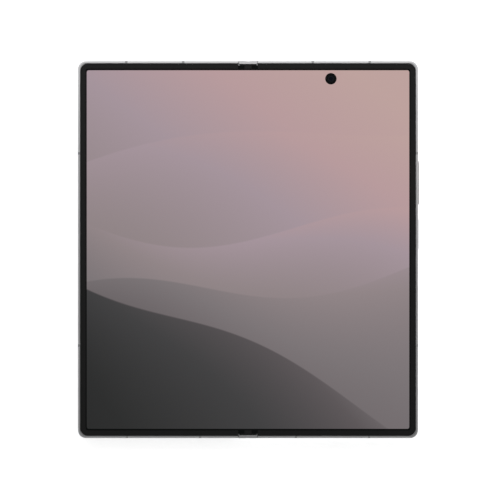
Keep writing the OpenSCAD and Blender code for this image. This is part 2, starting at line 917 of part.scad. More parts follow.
module lens_rings() {
    color("lightgray") lift() for (y = lens_ys) difference() {
        post(island_x, y, -back_lift, ring_seat - island_t, ring_d / 2);
        post(island_x, y, -back_lift - past, window_z + window_t, lens_r);
        post(island_x, y, -back_lift - past, body_t, lens_r - lens_shoulder);
    }
}

module lens_windows() {
    color([0.3, 0.35, 0.4, 0.5]) lift() for (y = lens_ys)
        post(island_x, y, window_z, window_z + window_t, lens_r - fit);
}

// A camera module: a barrel behind its window and a square housing inside the phone
module camera(y, barrel_r, housing) {
    w = housing / 2;
    z0 = glass_t + film + island_flange_t + film;
    lift() translate([island_x, y, 0]) {
        post(0, 0, window_z + window_t + slip, z0 + eps, barrel_r);
        block([-w, -w, z0], [w, w, part_top]);
    }
}

module ultrawide_camera() {
    color([0.12, 0.12, 0.13]) camera(lens_ys[0], ultrawide_barrel_r, ultrawide_housing);
}

module wide_camera() {
    color([0.12, 0.12, 0.13]) camera(lens_ys[1], wide_barrel_r, wide_housing);
}

module tele_camera() {
    color([0.12, 0.12, 0.13]) camera(lens_ys[2], tele_barrel_r, tele_housing);
}

module flash_window() {
    color("lemonchiffon") lift() {
        post(flash_x, flash_y, film, glass_t + film, flash_d / 2);
        post(flash_x, flash_y, glass_t, glass_t + 0.6, flash_d / 2 - 0.5);
    }
}

// ---------------------------------------------------------------- inside the main half

module main_battery() {
    z0 = glass_t + film + coil_t + slip;
    color("darkgray") lift() block([battery_x0, battery_y0, z0], [battery_x1, battery_y1, part_top]);
}

module charging_coil() {
    x = (battery_x0 + battery_x1) / 2;
    y = (battery_y0 + battery_y1) / 2;
    z0 = glass_t + film;
    color("peru") lift() difference() {
        post(x, y, z0, z0 + coil_t, coil_r);
        post(x, y, 0, body_t, coil_bore_r);
    }
}

// The main board fills the top beside the rear cameras, with room for the inner camera and the card reader
module main_board() {
    w = inner_housing / 2 + 0.4;
    color("seagreen") lift() difference() {
        block([inside_x, board_y0, board_z], [board_x1, board_y1, board_z + board_t]);
        block([inner_camera_x - w, inner_camera_y - w, 0], [inner_camera_x + w, half_h, body_t]);
        block([0, reader_y - board_gap, 0], [tray_x + reader_w / 2 + board_gap, half_h, body_t]);
    }
}

// Sheet boxes over the chips, two under the board and one on it
module board_shields() {
    y0 = board_y0 + shield_inset;
    y1 = y0 + shield_l;
    z0 = glass_t + air;
    top = board_z + board_t;
    color("lightgray") lift() {
        block([battery_x0, y0, z0], [shield_mid_x - 1, y1, board_z]);
        block([shield_mid_x + 1, y0, z0], [flash_x - flash_d, y1 - 3, board_z]);
        block([battery_x0, y0, top], [board_x1 - shield_inset, y1, part_top]);
    }
}

module port_board() {
    w = port_w / 2 + 0.6;
    color("seagreen") lift() difference() {
        block([inside_x, board_gap - bay_y, board_z], [bay_x - board_gap, port_board_end, board_z + board_t]);
        block([port_x - w, -half_h, 0], [port_x + w, port_end + board_gap, body_t]);
        block([speaker_x - speaker_w / 2 - 0.4, -half_h, 0], [half_w, speaker_end + 0.4, body_t]);
        block([0, -half_h, 0], [inside_x + 0.4 + haptic_w + board_gap, haptic_y + haptic_l + 1.5, body_t]);
    }
}

module port_shell() {
    color("silver") lift() translate([port_x, 0, port_z]) difference() {
        along_y(port_set_in - half_h, port_end) stadium(port_w + 2 * port_wall, port_h + 2 * port_wall);
        along_y(-half_h - past, port_end - port_back) stadium(port_w, port_h);
    }
}

module port_tongue() {
    color([0.1, 0.1, 0.1]) lift()
        translate([port_x - tongue_w / 2, tongue_set_in - half_h, port_z - tongue_t / 2])
            cube([tongue_w, port_l - port_back - tongue_set_in, tongue_t]);
}

module loudspeaker() {
    w = speaker_duct_w / 2;
    h = speaker_duct_h / 2;
    z = body_t / 2;
    color([0.2, 0.2, 0.2]) lift() difference() {
        block([speaker_x - speaker_w / 2, air - bay_y, part_z], [bay_x - 0.6, speaker_end, part_top]);
        block([speaker_x - w, -bay_y - past, z - h], [speaker_x + w, 1.2 - bay_y, z + h]);
    }
}

module haptic_motor() {
    color("lightgray") lift() translate([inside_x + 0.4, haptic_y, part_z])
        cube([haptic_w, haptic_l, part_top - part_z]);
}

// A folded sheet shell that guides the tray on both faces
module card_reader() {
    w = reader_w / 2;
    in = w - reader_side;
    h = tray_t / 2 + slip;
    color("lightgray") lift() translate([tray_x, 0, tray_z]) difference() {
        block([-w, reader_y, -h - reader_sheet], [w, bay_y - air, h + reader_sheet]);
        block([-in, reader_y + reader_stop, -h], [in, half_h, h]);
    }
}

// ---------------------------------------------------------------- inside the cover half

module cover_camera() {
    w = cover_housing / 2;
    z1 = glass_t + cover_screen_t;
    color([0.05, 0.05, 0.06]) lift() mirror(mirrored) translate([cover_camera_x, cover_camera_y, 0]) {
        post(0, 0, glass_t + fit, z1 + 0.4, cover_camera_d / 2 - 0.15);
        block([-w, -w, cover_part_z], [w, w, part_top]);
    }
}

module cover_battery() {
    color("darkgray") lift() mirror(mirrored)
        block([battery_x0, cover_battery_y0, cover_part_z], [battery_x1, cover_battery_y1, part_top]);
}

module cover_board() {
    color("seagreen") lift() mirror(mirrored)
        block([inside_x, cover_board_y0, board_z], [bay_x - board_gap, cover_board_y1, board_z + board_t]);
}

module earpiece() {
    color([0.2, 0.2, 0.2]) lift() mirror(mirrored)
        translate([earpiece_x - cover_housing - earpiece_w, bay_y - air - earpiece_l, cover_part_z])
            cube([earpiece_w, earpiece_l, part_top - cover_part_z]);
}

// ---------------------------------------------------------------- keys and tray

// A slot through the rim for a key, and a wider pocket behind it for the key's flange
module key_slot(y, l) {
    translate([0, y, key_z]) {
        along_x(bay_x - past, half_w + past) stadium(l + 3 * slip, key_h + 2 * slip);
        along_x(bay_x - past, half_w - rim_w)
            stadium(l + 2 * (flange_over + flange_play), key_h + flange_over + flange_play);
    }
}

// A key: its bar stands out of the rim, and its flange stays behind the rim
module key(y, l, flange_x, proud) {
    translate([0, y, key_z]) {
        along_x(flange_x, half_w + proud) stadium(l, key_h);
        along_x(flange_x - flange_t, flange_x + eps) stadium(l + 2 * flange_over, key_h + flange_over);
    }
}

// The volume key also has a round rib, on which it rocks
module volume_key() {
    color("silver") lift() {
        key(volume_y, volume_l, volume_pivot_x + flange_t / 2, volume_proud);
        post(volume_pivot_x, volume_y, key_z - key_h / 2, key_z + key_h / 2, rib_r);
    }
}

module side_key() {
    color("silver") lift() key(side_y, side_l, side_flange_x, side_proud);
}

// A snap dome that ends at x
module dome(x, y) {
    translate([strip_face_x - eps, y, 0]) rotate([0, 90, 0]) cylinder(r = dome_r, h = x - strip_face_x + eps);
}

// A strip along the bay's wall with three snap domes, and a stop behind the volume key's rib
module key_switches() {
    y0 = side_y - side_l / 2;
    y1 = volume_y + volume_l / 2;
    color("peru") lift() translate([0, 0, key_z]) {
        block([strip_x, y0, -strip_h / 2], [strip_face_x, y1, strip_h / 2]);
        dome(side_dome_x, side_y);
        for (s = [-1, 1]) dome(volume_dome_x, volume_y + s * dome_spread);
        translate([0, volume_y, 0])
            block([strip_face_x - eps, -dome_r, -key_h / 2], [rib_stop_x, dome_r, key_h / 2]);
    }
}

module card_tray() {
    w = tray_body_w / 2;
    edge = half_h - rim_w;
    bridge = half_h - tray_l + tray_bridge;
    color("silver") lift() translate([tray_x, 0, tray_z]) difference() {
        union() {
            along_y(edge, half_h) stadium(tray_face_l, tray_face_h);
            block([-w, half_h - tray_l, -tray_t / 2], [w, edge + eps, tray_t / 2]);
        }
        block([tray_rail - w, bridge, -tray_t], [w - tray_rail, edge - tray_back, tray_t]);
        rod(eject_inset - tray_face_l / 2, 0, edge - past, half_h + past, eject_r);
    }
}

main_frame();
main_antenna_inserts();
main_midplate();
main_back_glass();
camera_island();
lens_rings();
lens_windows();
wide_camera();
ultrawide_camera();
tele_camera();
flash_window();
main_battery();
charging_coil();
main_board();
board_shields();
port_board();
port_shell();
port_tongue();
loudspeaker();
haptic_motor();
card_reader();
main_magnets();
main_screen();
main_support_plate();
main_bezel();
inner_camera();
key_switches();
main_hinge_arms();
main_hinge_screws();
main_wing_plate();
volume_key();
side_key();
card_tray();
spine_cover();
spine_end_caps();
hinge_brackets();
hinge_pins();
torque_springs();
bracket_screws();
bend_screen();
bend_edge_caps();
hinge_flex_cables();
main_idler_gears();
cover_idler_gears();
cover_frame();
cover_antenna_inserts();
cover_midplate();
cover_glass();
cover_screen();
cover_camera();
cover_battery();
cover_board();
earpiece();
cover_magnets();
inner_cover_screen();
cover_support_plate();
cover_bezel();
cover_hinge_arms();
cover_hinge_screws();
cover_wing_plate();
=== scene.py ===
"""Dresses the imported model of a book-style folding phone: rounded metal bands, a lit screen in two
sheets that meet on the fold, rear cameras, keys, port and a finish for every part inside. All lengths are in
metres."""

import json
import math

import bmesh
import bpy
from mathutils import Matrix, Vector


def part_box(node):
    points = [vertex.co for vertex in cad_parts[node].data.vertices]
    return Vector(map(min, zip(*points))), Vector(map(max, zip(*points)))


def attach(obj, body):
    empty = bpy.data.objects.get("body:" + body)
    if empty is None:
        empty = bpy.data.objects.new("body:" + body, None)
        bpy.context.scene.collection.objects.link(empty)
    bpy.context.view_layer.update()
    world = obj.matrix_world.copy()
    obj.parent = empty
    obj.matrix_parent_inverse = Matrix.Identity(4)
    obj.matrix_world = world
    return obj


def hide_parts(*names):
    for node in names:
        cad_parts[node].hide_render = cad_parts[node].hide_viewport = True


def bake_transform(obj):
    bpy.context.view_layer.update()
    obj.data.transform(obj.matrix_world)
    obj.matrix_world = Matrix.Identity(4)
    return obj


bl_info = {
    "name": "Folding phone",
    "version": (1, 0, 0),
    "blender": (4, 5, 0),
    "location": "3D View > Sidebar > Folding phone",
    "description": "Builds the bands, screen, cameras and finishes of a folding phone round its packed frame",
    "category": "Add Mesh",
}

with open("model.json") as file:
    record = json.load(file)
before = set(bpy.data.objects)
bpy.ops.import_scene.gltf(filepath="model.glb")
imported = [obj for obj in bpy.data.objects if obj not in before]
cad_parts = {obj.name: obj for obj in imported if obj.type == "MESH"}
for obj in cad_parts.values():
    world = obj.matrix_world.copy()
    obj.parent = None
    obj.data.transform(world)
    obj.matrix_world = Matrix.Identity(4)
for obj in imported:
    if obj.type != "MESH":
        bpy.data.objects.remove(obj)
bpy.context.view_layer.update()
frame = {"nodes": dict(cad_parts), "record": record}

MM = 0.001
FRAME_LOW, FRAME_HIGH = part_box("main_frame")
SCREEN_LOW, SCREEN_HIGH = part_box("main_screen")
BEZEL_LOW, BEZEL_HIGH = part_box("main_bezel")
BEND_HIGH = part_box("bend_screen")[1]
SCREEN_CORNER = 1.5 * MM
# From the camera island's long side to the edge of the phone
ISLAND_MARGIN = 5 * MM

# The word that each half's names start with, and its side of the fold
HALVES = (("main", 1), ("cover", -1))
# How a stack lies: as it is drawn, or rising along X with its first axis along Y
UNTURNED = Matrix.Identity(4)
ALONG_X = Matrix(((0, 0, 1, 0), (1, 0, 0, 0), (0, 1, 0, 0), (0, 0, 0, 1)))

# Corners nearer than the first are the same corner, and edges shorter than the second are slivers.
SAME_PLACE = 0.0001 * MM
SLIVER = 0.003 * MM


# ---------------------------------------------------------------- sizes and colours

def length(name, description, default, low, high):
    """A length property, in metres."""
    return bpy.props.FloatProperty(
        name=name, description=description, default=default, min=low, max=high,
        unit="LENGTH", subtype="DISTANCE", precision=5)


def count(name, description, default, low, high):
    """A whole-number property."""
    return bpy.props.IntProperty(name=name, description=description, default=default, min=low, max=high)


def colour(name, description, default):
    """A colour property that holds an sRGB hex value."""
    return bpy.props.StringProperty(name=name, description=description, default=default, maxlen=7)


class PhoneBody(bpy.types.PropertyGroup):
    """Sizes of the metal and plastic round the screen."""
    corner_radius: length("Corner radius", "Radius of the phone's four corners", 3.4 * MM, 2 * MM, 6 * MM)
    edge_radius: length("Edge radius", "Rounding of the bands' long edges", 0.25 * MM, 0.1 * MM, 0.8 * MM)
    bezel_edge: length("Bezel edge", "Rounding of the bezel's upper edges", 0.14 * MM, 0.02 * MM, 0.2 * MM)
    key_edge: length("Key edge", "Rounding of the keys' outer edges", 0.2 * MM, 0.05 * MM, 0.4 * MM)
    key_height: length("Key height", "Height of the keys' faces", 1.7 * MM, 1 * MM, 2 * MM)
    key_flange: length("Key flange", "Reach of a key's flange past its face", 0.7 * MM, 0.3 * MM, 1 * MM)
    metal: colour("Metal", "Colour of the anodised bands", "#DEDEDF")
    bezel: colour("Bezel", "Colour of the soft black border", "#1C1C1C")


class PhoneScreen(bpy.types.PropertyGroup):
    """Sizes and colours of the inner screen."""
    lit_width: length("Lit width", "Width of the part that lights up", 135.4 * MM, 100 * MM, 139 * MM)
    lit_height: length("Lit height", "Height of the part that lights up", 150.5 * MM, 100 * MM, 154 * MM)
    lit_corner: length("Lit corner", "Corner radius of the part that lights up", 0.85 * MM, 0, 5 * MM)
    hole_width: length("Camera hole", "Width of the dark disc round the camera", 4.8 * MM, 2 * MM, 6 * MM)
    bend_columns: count("Bend columns", "Columns of faces across each half of the bend", 28, 8, 80)
    brightness: bpy.props.FloatProperty(
        name="Brightness", description="Strength of the screen's light", default=1.0, min=0, max=3)


class PhoneCameras(bpy.types.PropertyGroup):
    """Sizes of the rear cameras."""
    ring_edge: length("Ring edge", "Rounding of the lens rings", 0.35 * MM, 0.1 * MM, 0.6 * MM)
    island_edge: length("Island edge", "Rounding of the camera island", 0.4 * MM, 0.1 * MM, 1 * MM)
    steps: count("Steps", "Steps round each turned piece", 72, 24, 180)


class PhoneOpenings(bpy.types.PropertyGroup):
    """Places and sizes of the dust screens behind the sound holes, and of the port's contacts."""
    speaker: length("Speaker", "Distance of the speaker's holes from the fold", 59 * MM, 40 * MM, 65 * MM)
    lower_mic: length("Lower microphone", "Distance of the lower microphones from the fold",
        46.5 * MM, 0, 60 * MM)
    upper_mic: length("Upper microphone", "Distance of the upper microphone from the fold",
        45 * MM, 0, 60 * MM)
    hole_pitch: length("Hole pitch", "Distance from one sound hole to the next", 2.1 * MM, MM, 4 * MM)
    screen_width: length("Screen width", "Width of each dust screen", 0.9 * MM, 0.5 * MM, 2 * MM)
    screen_depth: length("Screen depth", "How far in the dust screens lie", 1.2 * MM, 0.3 * MM, 3 * MM)
    contacts: count("Contacts", "Contacts on each side of the port's tongue", 12, 4, 24)
    contact_pitch: length("Contact pitch", "Distance from one contact to the next", 0.5 * MM, 0.3 * MM, MM)
    contact_width: length("Contact width", "Width of each contact", 0.27 * MM, 0.1 * MM, 0.5 * MM)
    contact_length: length("Contact length", "Length of each contact", 4.4 * MM, 1 * MM, 5 * MM)
    contact_inset: length("Contact inset", "Distance from the tongue's end to the contacts",
        0.6 * MM, 0.2 * MM, 2 * MM)


class PhoneInside(bpy.types.PropertyGroup):
    """Sizes of the coil, the components and the cables inside the phone."""
    coil_bore: length("Coil bore", "Inner radius of the charging coil", 11 * MM, 5 * MM, 18 * MM)
    wire_spacing: bpy.props.FloatProperty(
        name="Wire spacing", description="Distance between turns, in widths of the wire", default=1.15,
        min=1.02, max=2)
    component_height: length("Component height", "Height of the tallest small component",
        0.55 * MM, 0.2 * MM, 1 * MM)
    cable_width: length("Cable width", "Width of each flat cable", 12 * MM, 4 * MM, 20 * MM)
    cable_bend: length("Cable bend", "How far from the fold the cables bend", 5 * MM, 2 * MM, 8 * MM)
    cable_columns: count("Cable columns", "Columns of faces across each half of a cable's bend", 20, 8, 60)


class PhoneStage(bpy.types.PropertyGroup):
    """The floor, the lights and the camera."""
    floor: colour("Floor", "Colour of the floor", "#F7F7F7")
    reach: length("Reach", "Distance from the floor's middle to its edges", 3.0, 1.0, 6.0)
    distance: length("Distance", "Distance of the camera from the screen", 2.0, 0.5, 4.0)
    picture_width: length("Picture width", "Width that the camera takes in", 0.2099, 0.1, 1.0)
    off_centre: bpy.props.FloatVectorProperty(
        name="Off centre", description="Point that the camera looks down on", size=2,
        default=(0.84 * MM, -0.19 * MM), unit="LENGTH", subtype="XYZ")


# ---------------------------------------------------------------- materials

def linear(code):
    """An sRGB hex value as linear colour."""
    values = [int(code[i : i + 2], 16) / 255 for i in (1, 3, 5)]
    return tuple(v / 12.92 if v <= 0.04045 else ((v + 0.055) / 1.055) ** 2.4 for v in values) + (1.0,)


def add(tree, kind, links=None, **settings):
    """Adds a node. links maps each input socket to a value, to the socket that feeds it or to the node
    whose first output feeds it."""
    node = tree.nodes.new(kind)
    for key, value in settings.items():
        setattr(node, key, value)
    for socket, value in (links or {}).items():
        if isinstance(value, bpy.types.Node):
            value = value.outputs[0]
        if isinstance(value, bpy.types.NodeSocket):
            tree.links.new(value, node.inputs[socket])
        else:
            node.inputs[socket].default_value = value
    return node


def new_material(name):
    """A new material and its node tree, which is empty."""
    material = bpy.data.materials.new(name)
    material.use_nodes = True
    material.node_tree.nodes.clear()
    return material, material.node_tree


def finished(material, **shader):
    """The material, ended in one Principled shader. Words in shader name its sockets."""
    sockets = {key.replace("_", " ").title().replace("Ior", "IOR"): value for key, value in shader.items()}
    surface = add(material.node_tree, "ShaderNodeBsdfPrincipled", sockets)
    add(material.node_tree, "ShaderNodeOutputMaterial", {"Surface": surface})
    return material


def grained(name, light, dark, grain, depth, rough, detail=3.0, **shader):
    """A finish with a grain. grain is the grain's size in millimetres along X, Y and Z, depth is the
    bump's height in millimetres, and rough holds the lowest and highest roughness."""
    material, tree = new_material(name)
    place = add(tree, "ShaderNodeTexCoord").outputs["Object"]
    scaled = add(tree, "ShaderNodeMapping", {"Vector": place, "Scale": [1 / MM / size for size in grain]})
    noise = add(tree, "ShaderNodeTexNoise", {"Vector": scaled, "Scale": 1.0, "Detail": detail})
    tint = add(tree, "ShaderNodeMix", {0: noise, 6: linear(dark), 7: linear(light)}, data_type="RGBA")
    gloss = add(tree, "ShaderNodeMapRange", {0: noise, 3: rough[0], 4: rough[1]})
    bump = add(tree, "ShaderNodeBump", {"Height": noise, "Strength": 0.6, "Distance": depth * MM})
    return finished(material, base_color=tint.outputs[2], roughness=gloss, normal=bump, **shader)


def grained_finishes(body):
    """The finishes that are one grain all over, by material slot."""
    return {
        # Anodised aluminium, bead-blasted: an even fine grit that spreads highlights softly.
        # The real grit is 0.03 mm; it is drawn at 0.12 mm to show.
        "frame_metal": grained("anodised_aluminium", body.metal, "#D3D3D4", (0.12, 0.12, 0.12), 0.0012,
            (0.34, 0.42), metallic=1.0),
        # Satin-polished aluminium of the spine: brighter than the bands, with faint buffing streaks.
        "spine_metal": grained("polished_aluminium", "#E4E4E5", "#D9D9DA", (0.15, 9, 0.15), 0.0006,
            (0.26, 0.34), metallic=1.0),
        # Glass-filled nylon of the antenna gaps: dull grey, blasted together with the metal.
        "antenna_plastic": grained("moulded_insert", "#9A9A9B", "#8C8C8D", (0.15, 0.15, 0.15), 0.004,
            (0.5, 0.62)),
        # Machined aluminium plate: fine straight cutter marks across the phone, 0.3 mm apart.
        "midplate_metal": grained("machined_plate", "#C2C2C4", "#A9A9AC", (30, 0.3, 30), 0.004,
            (0.3, 0.45), metallic=1.0),
        # Cold-rolled stainless sheet: long streaks along the roll.
        "support_steel": grained("rolled_steel", "#ABADB0", "#8F9194", (0.25, 25, 0.25), 0.003,
            (0.25, 0.4), metallic=1.0),
        # Thermoplastic polyurethane of the bezel: soft and black, with a fine matt texture.
        "bezel_polymer": grained("soft_bezel", body.bezel, "#171717", (0.18, 0.18, 0.18), 0.006,
            (0.5, 0.62), ior=1.48, specular_ior_level=0.12),
        # Black anodised barrels and housings of the cameras: matt, so that no light strays in them.
        "camera_housing": grained("black_anodised", "#1A1A1C", "#0E0E10", (0.2, 0.2, 0.2), 0.004,
            (0.4, 0.55)),
        # Laminated pouch foil: dark grey nylon over aluminium, with soft wrinkles 6 mm wide.
        "battery_pouch": grained("battery_foil", "#57585B", "#3C3D40", (6, 9, 6), 0.12, (0.3, 0.42),
            detail=5.0),
        # Enamelled copper wire of the charging coil: warm, glossy under its varnish.
        "copper_coil": grained("enamelled_copper", "#D08A5C", "#A9663F", (0.4, 0.4, 0.4), 0.003,
            (0.18, 0.3), metallic=1.0),
        # Tin-plated sheet of the shields and the reader: grey and slightly cloudy.
        "shield_steel": grained("tinned_shield", "#C9C9C6", "#A8A8A5", (1.2, 1.2, 1.2), 0.004,
            (0.28, 0.45), metallic=1.0),
        # Moulded nylon of the port's tongue and of the speakers: black, faintly grainy.
        "port_plastic": grained("black_nylon", "#1B1B1B", "#111111", (0.12, 0.12, 0.12), 0.004,
            (0.42, 0.55)),
        # Drawn steel case of the haptic motor: fine lines along the draw.
        "motor_steel": grained("drawn_steel", "#B7B9BC", "#94969A", (4, 0.2, 4), 0.003, (0.22, 0.36),
            metallic=1.0),
        # Nickel plating of the magnets: bright, with a warm cast and small plating dimples.
        "magnet": grained("nickel_plate", "#C9C5BD", "#B4B0A8", (0.4, 0.4, 0.4), 0.003, (0.12, 0.2),
            metallic=1.0),
        # Metal-injection-moulded steel of the hinge: evenly grainy and darker than sheet.
        "hinge_steel": grained("sintered_steel", "#8E9094", "#6E7074", (0.15, 0.15, 0.15), 0.008,
            (0.32, 0.5), metallic=1.0),
        # Black-oxide screws: dark, with an oily sheen.
        "screw_steel": grained("blackened_screw", "#38383B", "#242427", (0.2, 0.2, 0.2), 0.004,
            (0.28, 0.42), metallic=1.0),
        # Hardened disc springs: straw-coloured from tempering.
        "spring_steel": grained("spring_steel", "#BFAE86", "#8F8266", (0.3, 0.3, 0.3), 0.003,
            (0.22, 0.36), metallic=1.0),
        # Acid-etched glass over a silver-grey film: a soft wide sheen with a fine sparkle under it.
        "back_glass": grained("satin_glass", "#D0D1D3", "#C3C4C6", (0.25, 0.25, 0.25), 0.002,
            (0.3, 0.36), metallic=0.35, coat_weight=0.35, coat_roughness=0.22),
        # Gold flash over nickel on the contacts: bright and warm.
        "gold_contact": grained("gold_contact", "#E3BE72", "#CFA75B", (0.3, 0.3, 0.3), 0.001,
            (0.14, 0.22), metallic=1.0),
    }


def lens_glass():
    """The clear window over a rear camera."""
    # Sapphire lens window: clear and hard, with a faint cool coating.
    material, _ = new_material("lens_glass")
    return finished(material, base_color=linear("#EEF3F6"), roughness=0.0, ior=1.5, transmission_weight=1.0)


def coated_lens():
    """The front element of a camera, with the reflection tint of its anti-glare coating painted into its
    colour by the angle of view.
    """
    # Moulded glass element: near black, and its colour turns violet to green towards its rim as the angle of
    # view grows: the coating's real reflection tint, painted into the colour.
    material, tree = new_material("coated_lens")
    facing = add(tree, "ShaderNodeLayerWeight", {"Blend": 0.35}).outputs["Facing"]
    # Painted reflection: the coating's violet-green tint, set by the angle of view
    ramp = add(tree, "ShaderNodeValToRGB", {"Fac": facing})
    stops = ramp.color_ramp.elements
    stops[0].color, stops[1].color = linear("#06070B"), linear("#123026")
    stops.new(0.45).color = linear("#1C1A3A")
    return finished(material, base_color=ramp, roughness=0.03, ior=1.6, coat_weight=0.4, coat_roughness=0.01)


def printed_glass():
    """The cover half's glass: black, with the outer screen dark behind it and its camera hole."""
    # Polished aluminosilicate glass, laminated to a switched-off panel with a printed black border.
    lens_radius, hole_radius, blur = 2.6 * MM, 2.4 * MM, 0.1 * MM
    material, tree = new_material("printed_glass")
    low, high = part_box("cover_screen")
    place = add(tree, "ShaderNodeTexCoord").outputs["Object"]
    middle = add(tree, "ShaderNodeVectorMath", {0: place, 1: (low + high) / 2}, operation="SUBTRACT")
    away = add(tree, "ShaderNodeVectorMath", {0: middle}, operation="ABSOLUTE")
    past = add(tree, "ShaderNodeVectorMath", {0: away, 1: (high - low) / 2}, operation="SUBTRACT")
    past = add(tree, "ShaderNodeSeparateXYZ", {0: past}).outputs
    furthest = add(tree, "ShaderNodeMath", {0: past[0], 1: past[1]}, operation="MAXIMUM")
    panel = add(tree, "ShaderNodeMapRange", {0: furthest, 1: -blur, 2: blur, 3: 1.0, 4: 0.0})

    camera_low, camera_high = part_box("cover_camera")
    camera_width = camera_high.x - camera_low.x
    centre = ((camera_low.x + camera_high.x) / 2, camera_high.y - camera_width / 2, 0)
    flat = add(tree, "ShaderNodeVectorMath", {0: place, 1: (1, 1, 0)}, operation="MULTIPLY")
    spot = add(tree, "ShaderNodeVectorMath", {0: flat, 1: centre}, operation="DISTANCE").outputs["Value"]
    share = add(tree, "ShaderNodeMath", {0: spot, 1: 1 / lens_radius}, operation="MULTIPLY")
    lens = add(tree, "ShaderNodeValToRGB", {"Fac": share})
    rings = lens.color_ramp.elements
    rings[0].color, rings[1].color = linear("#050608"), linear("#101114")
    for at, code in ((0.28, "#0B1020"), (0.42, "#05060A"), (0.5, "#2A2B2E"), (0.56, "#08080A"),
            (0.8, "#060607")):
        rings.new(at).color = linear(code)
    near = add(tree, "ShaderNodeMath", {0: spot, 1: hole_radius}, operation="LESS_THAN")
    face = add(tree, "ShaderNodeMix", {0: panel, 6: linear("#050505"), 7: linear("#121316")},
        data_type="RGBA").outputs[2]
    face = add(tree, "ShaderNodeMix", {0: near, 6: face, 7: lens}, data_type="RGBA").outputs[2]
    return finished(material, base_color=face, roughness=0.045, ior=1.51, specular_ior_level=0.4)


def outer_panel():
    """The outer screen's own panel, seen only when its glass is taken off."""
    # Switched-off organic LED panel: near black, with a 0.4 mm sub-pixel grid drawn coarse to show.
    material, tree = new_material("outer_panel")
    place = add(tree, "ShaderNodeTexCoord").outputs["Object"]
    grid = add(tree, "ShaderNodeTexBrick", {"Vector": place, "Scale": 1 / MM, "Color1": linear("#101116"),
        "Color2": linear("#14151B"), "Mortar": linear("#050506"), "Mortar Size": 0.06, "Brick Width": 0.4,
        "Row Height": 0.4}, offset=0.0)
    return finished(material, base_color=grid, roughness=0.25, ior=1.5)


def circuit_board():
    """Green solder mask with tracks, pads and a fine weave."""
    # Glass-epoxy laminate under solder mask: tracks show as slightly lighter lines 0.7 mm apart,
    # among gold pads about 1.7 mm apart.
    material, tree = new_material("circuit_board")
    place = add(tree, "ShaderNodeTexCoord").outputs["Object"]
    cells = add(tree, "ShaderNodeTexBrick", {"Vector": place, "Scale": 1 / MM, "Color1": linear("#1E5A40"),
        "Color2": linear("#174A34"), "Mortar": linear("#2D7A56"), "Mortar Size": 0.09, "Brick Width": 3.2,
        "Row Height": 0.7})
    pads = add(tree, "ShaderNodeTexVoronoi", {"Vector": place, "Scale": 0.6 / MM}).outputs["Distance"]
    gold = add(tree, "ShaderNodeMath", {0: pads, 1: 0.16}, operation="LESS_THAN")
    face = add(tree, "ShaderNodeMix", {0: gold, 6: cells, 7: linear("#CFAE62")}, data_type="RGBA")
    gloss = add(tree, "ShaderNodeMapRange", {0: gold, 3: 0.38, 4: 0.2})
    bump = add(tree, "ShaderNodeBump", {"Height": cells.outputs[1], "Strength": 0.4, "Distance": 0.02 * MM})
    return finished(material, base_color=face.outputs[2], roughness=gloss, metallic=gold, normal=bump,
        ior=1.5)


def polyimide_film():
    """Amber flexible circuit with copper tracks."""
    # Polyimide film over etched copper: amber, with straight darker tracks. One turn of a wave is
    # pi / 10 / Scale, which sets them 0.6 mm apart.
    material, tree = new_material("polyimide_film")
    place = add(tree, "ShaderNodeTexCoord").outputs["Object"]
    tracks = add(tree, "ShaderNodeTexWave", {"Vector": place, "Scale": 520.0, "Distortion": 0.0},
        bands_direction="Y")
    face = add(tree, "ShaderNodeMix", {0: tracks.outputs[1], 6: linear("#B4671B"), 7: linear("#7E3F10")},
        data_type="RGBA")
    return finished(material, base_color=face.outputs[2], roughness=0.35, ior=1.6)


def flash_diffuser():
    """Pale diffuser with the ring-shaped steps of a flat lens."""
    # Moulded acrylic with concentric steps 0.25 mm apart, over yellow phosphor.
    material, tree = new_material("flash_diffuser")
    low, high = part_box("flash_window")
    centre = (low + high) / 2
    place = add(tree, "ShaderNodeTexCoord").outputs["Object"]
    flat = add(tree, "ShaderNodeVectorMath", {0: place, 1: (1, 1, 0)}, operation="MULTIPLY")
    away = add(tree, "ShaderNodeVectorMath", {0: flat, 1: (centre.x, centre.y, 0)},
        operation="DISTANCE").outputs["Value"]
    turns = add(tree, "ShaderNodeMath", {0: away, 1: 1 / (0.25 * MM)}, operation="MULTIPLY")
    step = add(tree, "ShaderNodeMath", {0: turns}, operation="FRACT")
    glow = add(tree, "ShaderNodeMapRange", {0: away, 1: 0.4 * MM, 2: 2.2 * MM, 3: 1.0, 4: 0.0})
    face = add(tree, "ShaderNodeMix", {0: glow, 6: linear("#E9E6DC"), 7: linear("#F0DC8A")},
        data_type="RGBA")
    bump = add(tree, "ShaderNodeBump", {"Height": step, "Strength": 0.5, "Distance": 0.04 * MM})
    return finished(material, base_color=face.outputs[2], normal=bump, roughness=0.18, ior=1.49,
        coat_weight=0.4)


# Soft hills of the screen's picture, back to front. Height is a hill's line at the left edge and slope
# its rise across the screen, waves are turns across it, swing is their height and phase where they start.
# Crest and deep are the light at the top of a hill and far under it, and fade is how fast the one turns
# into the other. Heights are shares of the screen's height.
HILL_SIZES = ("Height", "Slope", "Swing", "Waves", "Phase", "Crest", "Deep", "Fade")
HILLS = (
    (0.70, 0.16, 0.060, 0.55, 0.10, 0.88, 0.62, 2.4),
    (0.60, -0.06, 0.075, 0.70, 0.55, 0.80, 0.46, 3.2),
    (0.36, 0.10, 0.055, 0.80, 0.20, 0.62, 0.34, 3.6),
    (0.44, -0.44, 0.040, 0.90, 0.75, 0.36, 0.17, 4.5),
)
HILL_EDGE = 0.004
# The light at the picture's lower left corner, and how much lighter its right edge is than its left, and
# its top than its foot
CORNER_LIGHT, RIGHTWARD, UPWARD = 0.45, 0.24, 0.36
# Light to colour, from charcoal to a warm pinkish grey
PICTURE = ((0.0, "#212121"), (0.12, "#2B2B2B"), (0.25, "#403F40"), (0.4, "#5C5658"), (0.55, "#7B7476"),
    (0.68, "#908486"), (0.8, "#A4939B"), (0.9, "#B79A9C"), (1.0, "#BDA19D"))


